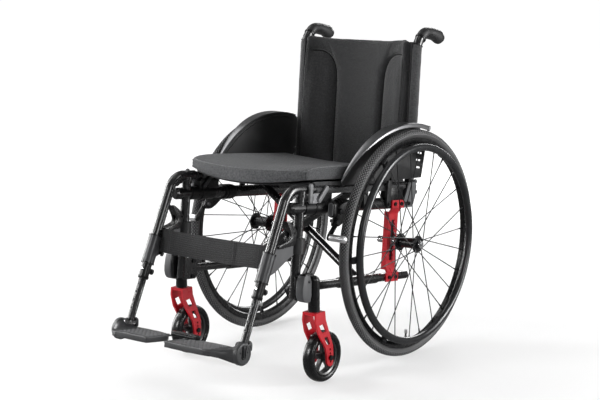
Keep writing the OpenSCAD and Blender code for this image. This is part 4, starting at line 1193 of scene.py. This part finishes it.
    bp_ = rounded([(-305, 151), (-292, 146), (-268, 148), (-232, 174), (-224, 182), (-222, 205), (-232, 213), (-262, 205), (-276, 200), (-293, 190), (-296, 172)], 1)
    cl.append(prism("brake_plate", bp_, (206, 211.8), Fg, "black", None, bev=0.0016, segs=3))
    cl.append(prism("brake_arm_base", rounded([(-262, 178), (-224, 178), (-224, 208), (-262, 208)], 1), (199, 207), Fg, "black", None, bev=0.0012))
    for s_, t_ in ((-290.3, 159.5), (-278.9, 184.9)):
        cl.append(tube("brake_pin", [Fg(210, s_, t_), Fg(219.2, s_, t_)], 0.0040, "bolt", None, segs=20, bev=0.0004))
        cl.append(tube("brake_nut", [Fg(219.2, s_, t_), Fg(223, s_, t_)], 0.0068, "cast", None, segs=6, bev=0.0006))
    cl.append(tube("brake_rod", [Fg(197.5, -292, 161), Fg(199, -292, 161), Fg(211, -292, 160.5)], 0.0042, "cast", None, segs=16, bev=0.0005))
    cl.append(tube("tie_rod", [Fg(200.8, -297, 211.5), Fg(200.8, -293, 213), Fg(200.8, -262, 224.3), Fg(200.8, -258, 225.8)], [0.0030, 0.0024, 0.0024, 0.0030], "hook", None, segs=14))
    fuse(cl, fr, "black_plastic", S + "_tube_clamps")

    # ---- brake lever with its oval finger knob
    knob = stadium((215, 181.5), (215, 200.5), 10.6, n=14)
    kl = [prism(S + "_brake_paddle", knob, (-317.5, -304), swap(Fg), "black", None, bev=0.0034, segs=4)]
    ring_o = [Fg(215 + 6.6 * math.cos(w), -317.9, 191 + (9.2 if math.sin(w) > 0 else -9.2) + 6.6 * math.sin(w)) for w in [2 * math.pi * k / 48 for k in range(48)]]
    kl.append(tube("paddle_rim", ring_o, 0.0011, "hook", None, segs=10, closed=True))
    kl.append(prism("paddle_face", stadium((215, 182), (215, 200), 5.9, n=12), (-318.1, -316.5), swap(Fg), "cast", None, bev=0.0006))
    kl.append(prism("paddle_arm", rounded([(-279, 193.6), (-271.5, 190), (-271, 180), (-276, 176.6), (-300, 181), (-308, 186), (-308, 198), (-300, 197)], 1), (212.6, 218.2), Fg, "black", None, bev=0.0014, segs=3))
    fuse(kl, S + "_parking_lever", "black_plastic", S + "_brake_lever")

    # ---- brake arm: black bent arm, fluted silver pin with round ends
    br = [prism(S + "_brake_stalk", rounded([(-282.5, 164), (-290, 167.5), (-298.5, 163), (-305, 150), (-323, 131), (-327, 120), (-320, 114), (-311, 116), (-307, 128), (-290, 148), (-283, 154)], 1), (212.5, 218.3), Fg, "black", None, bev=0.0016, segs=3)]
    prof = [(-0.0, 215.4), (3.6, 215.8), (6.4, 217.2), (8.2, 219.6), (8.9, 222.5), (8.9, 260), (8.2, 263), (6.4, 265.5), (3.6, 267), (0.0, 267.4)]
    rings = []
    for r_, x_ in prof:
        fl = 0.55 if r_ > 8 else 0.0
        rings.append([Fg(x_, -317.5 + (r_ - fl * (0.5 + 0.5 * math.cos(11 * w))) * math.cos(w), 122.5 + (r_ - fl * (0.5 + 0.5 * math.cos(11 * w))) * math.sin(w)) for w in [2 * math.pi * k / 88 for k in range(88)]])
    br.append(ringed("brake_pin_silver", rings, "silver", angle=50))
    fuse(br, S + "_parking_arm", "bright_steel", S + "_brake_arm")

    # ---- footplate
    Gg = Gs(g)
    ft = S + "_foot_support"
    inn = -168 if g > 0 else -148
    plate = rounded([(inn, 13), (inn, -88), (inn + 6, -94), (-34, -94), (-20, -80), (-12, -52), (8, -45), (8.6, -38), (8.6, 13)], 2)
    fp = [prism(S + "_foot_plate", plate, (-24, -11.4), lambda h, a, b: Gg(a, b, h), "plate", None, bev=0.0032, segs=4)]
    # raised rim along the front and the inner edge
    rp = catmull([(inn + 2.8, 9), (inn + 2.7, -40), (inn + 3, -82), (inn + 4.5, -88.5), (inn + 10, -91.2), (-90, -91.4), (-46, -91.2)], 5)
    fp.append(tube("plate_rim", [Gg(float(q[0]), float(q[1]), -11.6) for q in rp], 0.0023, "stud", None, segs=12))
    # anti-slip lozenges inside a plain margin, lighter than the plate as a painted highlight on their glossy tops
    x0_, x1_, u0_, u1_ = inn + 11, -40.0, -83.0, 5.0
    tv, tf = [], []
    for j in range(12):
        for i in range(12):
            cx_, cu_ = x0_ + 6 + 12.2 * i + 6.1 * (j % 2), u0_ + 7 + 7.4 * j
            if cx_ > x1_ - 5 or cu_ > u1_ - 5:
                continue
            b0 = len(tv)
            for h_, a_, c_ in ((-11.6, 5.7, 6.8), (-10.6, 5.4, 6.5), (-10.1, 4.5, 5.4)):
                tv += [Gg(cx_ + a_, cu_, h_), Gg(cx_, cu_ + c_, h_), Gg(cx_ - a_, cu_, h_), Gg(cx_, cu_ - c_, h_)]
            for r_ in (0, 4):
                tf += [(b0 + r_ + k, b0 + r_ + (k + 1) % 4, b0 + r_ + 4 + (k + 1) % 4, b0 + r_ + 4 + k) for k in range(4)]
            tf += [(b0, b0 + 1, b0 + 2, b0 + 3), (b0 + 8, b0 + 9, b0 + 10, b0 + 11)]
    fp.append(add("plate_tiles", tv, tf, "tile", None, angle=20))
    # neck between the tread and the hub disc
    nk = []
    for x_, cu_, hu_, vt_, vb_, e_ in ((-42, -40.5, 52.8, -11.6, -23.6, 7.0), (-30, -38, 50, -11.2, -25, 6.0), (-18, -31, 41, -9.5, -29.5, 4.2), (-8, -24, 32.5, -5, -37, 2.9), (1, -19.8, 28, 2.5, -42, 2.3), (9.5, -18.2, 26.4, 8.2, -43.6, 2.0)):
        cv_, hv_ = (vt_ + vb_) / 2, (vt_ - vb_) / 2
        nk.append([Gg(x_, cu_ + hu_ * math.copysign(abs(math.cos(w)) ** (2 / e_), math.cos(w)), cv_ + hv_ * math.copysign(abs(math.sin(w)) ** (2 / e_), math.sin(w))) for w in [2 * math.pi * k / 64 for k in range(64)]])
    fp.append(ringed("plate_neck", nk, "plate", angle=50))
    hubc = Gg(0, -18.2, -17.7)
    ax_ = Vector((g, 0, 0))
    fp.append(revolve("hub_disc", [(0.05, 6), (26, 6), (27, 7), (27, 16), (25.6, 18.4), (24, 19), (20.5, 19), (19.6, 18.2), (0.05, 18.2)], hubc, ax_, "plate", None, segs=72))
    u0, v0 = -18.2, -17.7
    # black U-line round the rod and two black discs on the hub face: painted shade of its slot and two holes, which are
    # not cut
    gro = [(u0 - 5.6, v0 + 20), (u0 - 5.6, v0)] + [(u0 + 5.6 * math.cos(rad(180 + w)), v0 - 6 + 5.6 * math.sin(rad(180 + w))) for w in range(0, 181, 15)] + [(u0 + 5.6, v0), (u0 + 5.6, v0 + 20)]
    fp.append(tube("hub_groove_shade", [Gg(18.4, a, b) for a, b in gro], 0.0017, "black", None, segs=10))
    fp.append(tube("hub_rod", [Gg(18.6, u0, v0 + 19), Gg(18.6, u0, v0 + 18), Gg(18.6, u0, v0 - 7), Gg(18.6, u0, v0 - 8)], [0.0018, 0.0023, 0.0023, 0.0018], "satin", None, segs=12))
    for du in (-13, 13):
        fp.append(tube("hub_hole_shade", [Gg(18.0, u0 + du, v0 + 4), Gg(18.6, u0 + du, v0 + 4)], 0.0021, "black", None, segs=14))
    for y0, y1 in ((-20, -12.4), (14.4, 22)):
        lug = [(9.6 * math.cos(rad(w)), 9.6 * math.sin(rad(w))) for w in range(0, 181, 12)] + [(-9.6, -13), (9.6, -13)]
        fp.append(prism("hinge_lug", lug, (y0, y1), lambda h, a, b: Gg(a, h, b), "plate", None, bev=0.0012, segs=2))
    fp.append(tube("hinge_pin", [Gg(0, -21.5, 0), Gg(0, 23.5, 0)], 0.0040, "steel", None, segs=20, bev=0.0005))
    fp.append(prism("hinge_base", rounded([(-12, -40), (12, -40), (12, 22), (-12, 22)], 1), (-30, -11.2), lambda h, a, b: Gg(a, b, h), "plate", None, bev=0.0018))
    if g > 0:
        # catch that holds the two plates level
        fp.append(prism("catch_bar", rounded([(-220, -11), (-140, -11), (-134, -4), (-136, 6), (-222, 6), (-224, -4)], 1), (-11.6, 0.6), lambda h, a, b: Gg(a, b, h), "black", None, bev=0.0022, segs=3))
        for k in (0, 1):
            fp.append(prism("catch_slot", stadium((-208 + 34 * k, -2), (-186 + 34 * k, -2), 2.0, n=6), (0.2, 1.1), lambda h, a, b: Gg(a, b, h), "cast", None, bev=0.0003))
        fp.append(tube("catch_line", [Gg(-216, -11.3, -5.5), Gg(-145, -11.3, -5.5)], 0.0009, "satin", None, segs=8))
    fuse(fp, ft, "plate_plastic", S + "_footplate")

    # ---- side guard: matte panel with slots, band that widens to the rear, lip over the tyre, pale rear cap whose light grey is a painted highlight
    bd = lambda x, R_, a: Pg(x, 5 + R_ * math.cos(rad(a)), 293 + R_ * math.sin(rad(a)))
    ol = [(112, 449), (130, 518), (127, 545), (114, 572)] + [(5 + 309.5 * math.cos(rad(a)), 293 + 309.5 * math.sin(rad(a))) for a in range(73, 143, 3)] + [(-240, 482), (-236, 474), (-230, 472)]
    pn = prism(S + "_guard", ol, (203.8, 206.3), Pg, "matte", None, bev=0.0005)
    cutters = []
    for y_, z_ in ((106, 515), (99, 497), (97, 478)):
        ca, sa = math.cos(rad(-12)), math.sin(rad(-12))
        so_ = [(y_ + a * ca - b * sa, z_ + a * sa + b * ca) for a, b in stadium((-9, 0), (9, 0), 2.4, n=8)]
        cutters.append(prism("slot_cut", so_, (200, 210), Pg, "matte", None, bev=0))
    cut(pn, cutters)
    gs_ = [pn]
    aa = np.linspace(72.6, 142, 130)
    xo = np.interp(aa, [72.6, 90, 100, 110, 118, 125, 132, 138, 142], [239.6, 239.4, 237.4, 233, 227.5, 221.5, 215, 209.5, 206.6])
    hh = np.interp(aa, [72.6, 85, 100, 115, 130, 142], [13.5, 11.5, 8.5, 6, 4, 3])
    xo = np.convolve(np.pad(xo, 6, "edge"), np.ones(13) / 13, "valid")
    rings = []
    for a, x_, h_ in zip(aa, xo, hh):
        sec = [(203.8, 308.4), (203.8, 311.0), (204.6, 311.8), (206.0, 312.0), (max(206.2, x_ - 2.4), 312.0), (max(206.4, x_ - 0.8), 311.6), (x_ + 0.4, 310.6), (x_ + 1.2, 308.6), (x_ + 1.5, 312 - h_ + 0.8), (x_ + 0.9, 312 - h_), (x_ - 0.6, 312 - h_), (x_ - 1.2, 312 - h_ + 0.8), (max(206.0, x_ - 2.0), 308.8)]
        rings.append([bd(p, q, a) for p, q in sec])
    gs_.append(ringed("guard_band", rings, "band", angle=48))
    # pale grey tip at the band's rear end: its light tone is a painted highlight
    gs_.append(prism("guard_cap", [(5 + 304.9 * math.cos(rad(72.2)) + 4.4 * math.cos(rad(w)) * math.sin(rad(72.2)) + 7.3 * math.sin(rad(w)) * math.cos(rad(72.2)), 293 + 304.9 * math.sin(rad(72.2)) - 4.4 * math.cos(rad(w)) * math.cos(rad(72.2)) + 7.3 * math.sin(rad(w)) * math.sin(rad(72.2))) for w in range(0, 360, 15)], (234, 242), Pg, "pale", None, bev=0.0018, segs=3))
    gs_.append(tube("guard_nose", [bd(205, 309.6, 134), bd(205, 309.9, 138), bd(205, 309.4, 141), Pg(205, -240.5, 482), Pg(205, -237.5, 473), Pg(205, -228, 471.5)], [0.0016, 0.0022, 0.0026, 0.0027, 0.0024, 0.0014], "gloss", None, segs=14))
    for x_ in (203.4, 206.8):
        gs_.append(tube("guard_bead", [bd(x_, 300, a) for a in np.linspace(77, 138, 60)], 0.0016, "matte", None, segs=10))
    for s0 in (-168, -66):
        gs_.append(prism("guard_leg", rounded([(s0, 184), (s0 + 18, 184), (s0 + 18, 264), (s0, 264)], 1), (199.4, 206.3), Fg, "matte", None, bev=0.0012))
    fuse(gs_, fr, "guard_plastic", S + "_side_guard")

    # ---- cloth sleeve of the sling round the seat tube
    sc = "scissor_b" if g > 0 else "scissor_a"
    rings = []
    for i, s_ in enumerate(np.linspace(-354, 34, 60)):
        r_ = 11.28 if s_ > -48 else 11.7 + 0.2 * math.sin(i * 2.1) + 0.1 * math.sin(i * 0.9 + g)
        ring = []
        for k in range(36):
            w = 2 * math.pi * k / 36
            up_ = max(0.0, math.sin(w))
            ring.append(Fg(FX + r_ * math.cos(w) * (1 - 0.45 * up_ ** 2) - 2.5 * up_ ** 2, s_, 238.5 + r_ * math.sin(w) + 6.2 * up_ ** 4))
        rings.append(ring)
    sv = ringed(S + "_sling_sleeve", rings, "slv", caps=False, angle=60)
    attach(sv, sc)
    so = sv.modifiers.new("thick", "SOLIDIFY")
    so.thickness = 0.0005
    so.offset = -1

    # ---- axle plate: black plate behind the slot as painted shade of the channel's inside, with red teeth along the slot's edges
    ins = []
    outl = [(-23, 38), (3, 38), (3, 157), (-23, 157)]
    ins.append(prism(S + "_slot_shade_plate", outl, (184.9, 187.1), Fg, "black", None, bev=0.0005))
    for k in range(9):
        t_ = 50.5 + 11.6 * k
        if abs(t_ - 96) < 13:
            continue
        for s_, a0 in ((-18.7, -90), (-1.3, 90)):
            hf = [(s_ + 3.2 * math.cos(rad(a0 + w)), t_ + 4.2 * math.sin(rad(a0 + w))) for w in range(0, 181, 15)]
            ins.append(prism("slot_tooth", hf, (187.2, 190.6), Fg, "red", None, bev=0.0004))
    fuse(ins, fr, "red_paint")

# ------------------------------------------------------------------ camera, light, floor
az, el, roll, D = rad(38.19), rad(9.86), rad(-0.23), 4.02315
target = P(-44.48, -87.20, 390.0)
back = Vector((math.sin(az) * math.cos(el), -math.cos(az) * math.cos(el), math.sin(el)))
right = (-back).cross(Vector((0, 0, 1))).normalized()
up = right.cross(-back)
r2 = right * math.cos(roll) + up * math.sin(roll)
u2 = up * math.cos(roll) - right * math.sin(roll)
pos = target + back * D
cam = bpy.data.cameras.new("camera")
cam.sensor_width = 36
cam.lens = 36 * 1519.23 / 600
cam.clip_end = 100
co = bpy.data.objects.new("camera", cam)
scene.collection.objects.link(co)
co.matrix_world = Matrix(((r2.x, u2.x, back.x, pos.x), (r2.y, u2.y, back.y, pos.y), (r2.z, u2.z, back.z, pos.z), (0, 0, 0, 1)))
scene.camera = co

me = bpy.data.meshes.new("floor")
me.from_pydata([(-30, -30, 0), (30, -30, 0), (30, 30, 0), (-30, 30, 0)], [], [(0, 1, 2, 3)])
floor = bpy.data.objects.new("floor", me)
scene.collection.objects.link(floor)
fm = bpy.data.materials.new("floor_white")
fm.use_nodes = True
fb = fm.node_tree.nodes["Principled BSDF"]
fb.inputs["Base Color"].default_value = (0.42, 0.42, 0.42, 1)
fb.inputs["Roughness"].default_value = 0.7
fb.inputs["Specular IOR Level"].default_value = 0.0
fb.inputs["Emission Color"].default_value = (1, 1, 1, 1)
# the lamps fall off with distance, so the paper's own glow makes up for it
fnt = fm.node_tree
fco = fnt.nodes.new("ShaderNodeTexCoord").outputs["Object"]
fln = fnt.nodes.new("ShaderNodeVectorMath")
fln.operation = "LENGTH"
fnt.links.new(fco, fln.inputs[0])
fmr = fnt.nodes.new("ShaderNodeMapRange")
fmr.interpolation_type = "SMOOTHSTEP"
for k_in, v_in in (("From Min", 0.6), ("From Max", 4.2), ("To Min", 0.50), ("To Max", 0.94)):
    fmr.inputs[k_in].default_value = v_in
fnt.links.new(fln.outputs["Value"], fmr.inputs["Value"])
fnt.links.new(fmr.outputs["Result"], fb.inputs["Emission Strength"])
me.materials.append(fm)
floor.visible_glossy = False

# paper wall behind the floor's edge, seen directly only, so that low views stay white too
me = bpy.data.meshes.new("wall")
me.from_pydata([(29 * math.cos(rad(a)), 29 * math.sin(rad(a)), z) for z in (0, 24) for a in range(0, 360, 5)], [],
               [(i, (i + 1) % 72, 72 + (i + 1) % 72, 72 + i) for i in range(72)])
wall = bpy.data.objects.new("wall", me)
scene.collection.objects.link(wall)
wm = bpy.data.materials.new("wall_white")
wm.use_nodes = True
wb = wm.node_tree.nodes["Principled BSDF"]
wb.inputs["Base Color"].default_value = (0, 0, 0, 1)
wb.inputs["Specular IOR Level"].default_value = 0.0
wb.inputs["Emission Color"].default_value = (1, 1, 1, 1)
wb.inputs["Emission Strength"].default_value = 1.0
me.materials.append(wm)
wall.visible_diffuse = wall.visible_glossy = wall.visible_transmission = wall.visible_shadow = False


def area(name, loc, to, size, power, sy=None):
    l = bpy.data.lights.new(name, "AREA")
    l.energy = power
    l.shape = "RECTANGLE"
    l.size = size
    l.size_y = sy or size
    o = bpy.data.objects.new(name, l)
    scene.collection.objects.link(o)
    d = (Vector(to) - Vector(loc)).normalized()
    o.location = loc
    o.rotation_euler = d.to_track_quat("-Z", "Y").to_euler()
    return o


w = bpy.data.worlds.new("studio") if not scene.world else scene.world
scene.world = w
w.use_nodes = True
bg = w.node_tree.nodes["Background"]
bg.inputs[0].default_value = (1, 1, 1, 1)
bg.inputs[1].default_value = 0.20
area("left_strip", (-3.0, -0.6, 1.2), (0, 0, 0.5), 0.6, 88, sy=2.4)
area("right_strip", (2.7, 1.5, 1.2), (0, 0, 0.5), 0.6, 88, sy=2.4)
area("key", (-1.5, -3.6, 1.8), (0, 0, 0.4), 0.8, 95, sy=1.0)
area("near", (3.0, -1.5, 1.5), (0, 0, 0.4), 0.5, 30, sy=1.4)
area("top", (0.1, -0.1, 3.2), (0, 0, 0.2), 0.5, 4, sy=2.0)
area("soft", (-1.9, -0.25, 2.75), (0.1, -0.1, 0.55), 2.4, 32, sy=0.9)
area("back", (-0.9, 3.0, 1.5), (0, 0.1, 0.5), 0.7, 40, sy=2.0)

# broad reflectors that only show as reflections in the gloss
for nm, loc, w_, p_ in (("gloss_left", (-2.6, -1.0, 0.9), 1.4, 40), ("gloss_right", (2.4, 1.6, 0.9), 1.2, 34)):
    area(nm, loc, (0, 0, 0.45), w_, p_, sy=1.8).visible_diffuse = False

scene.view_settings.view_transform = "Standard"
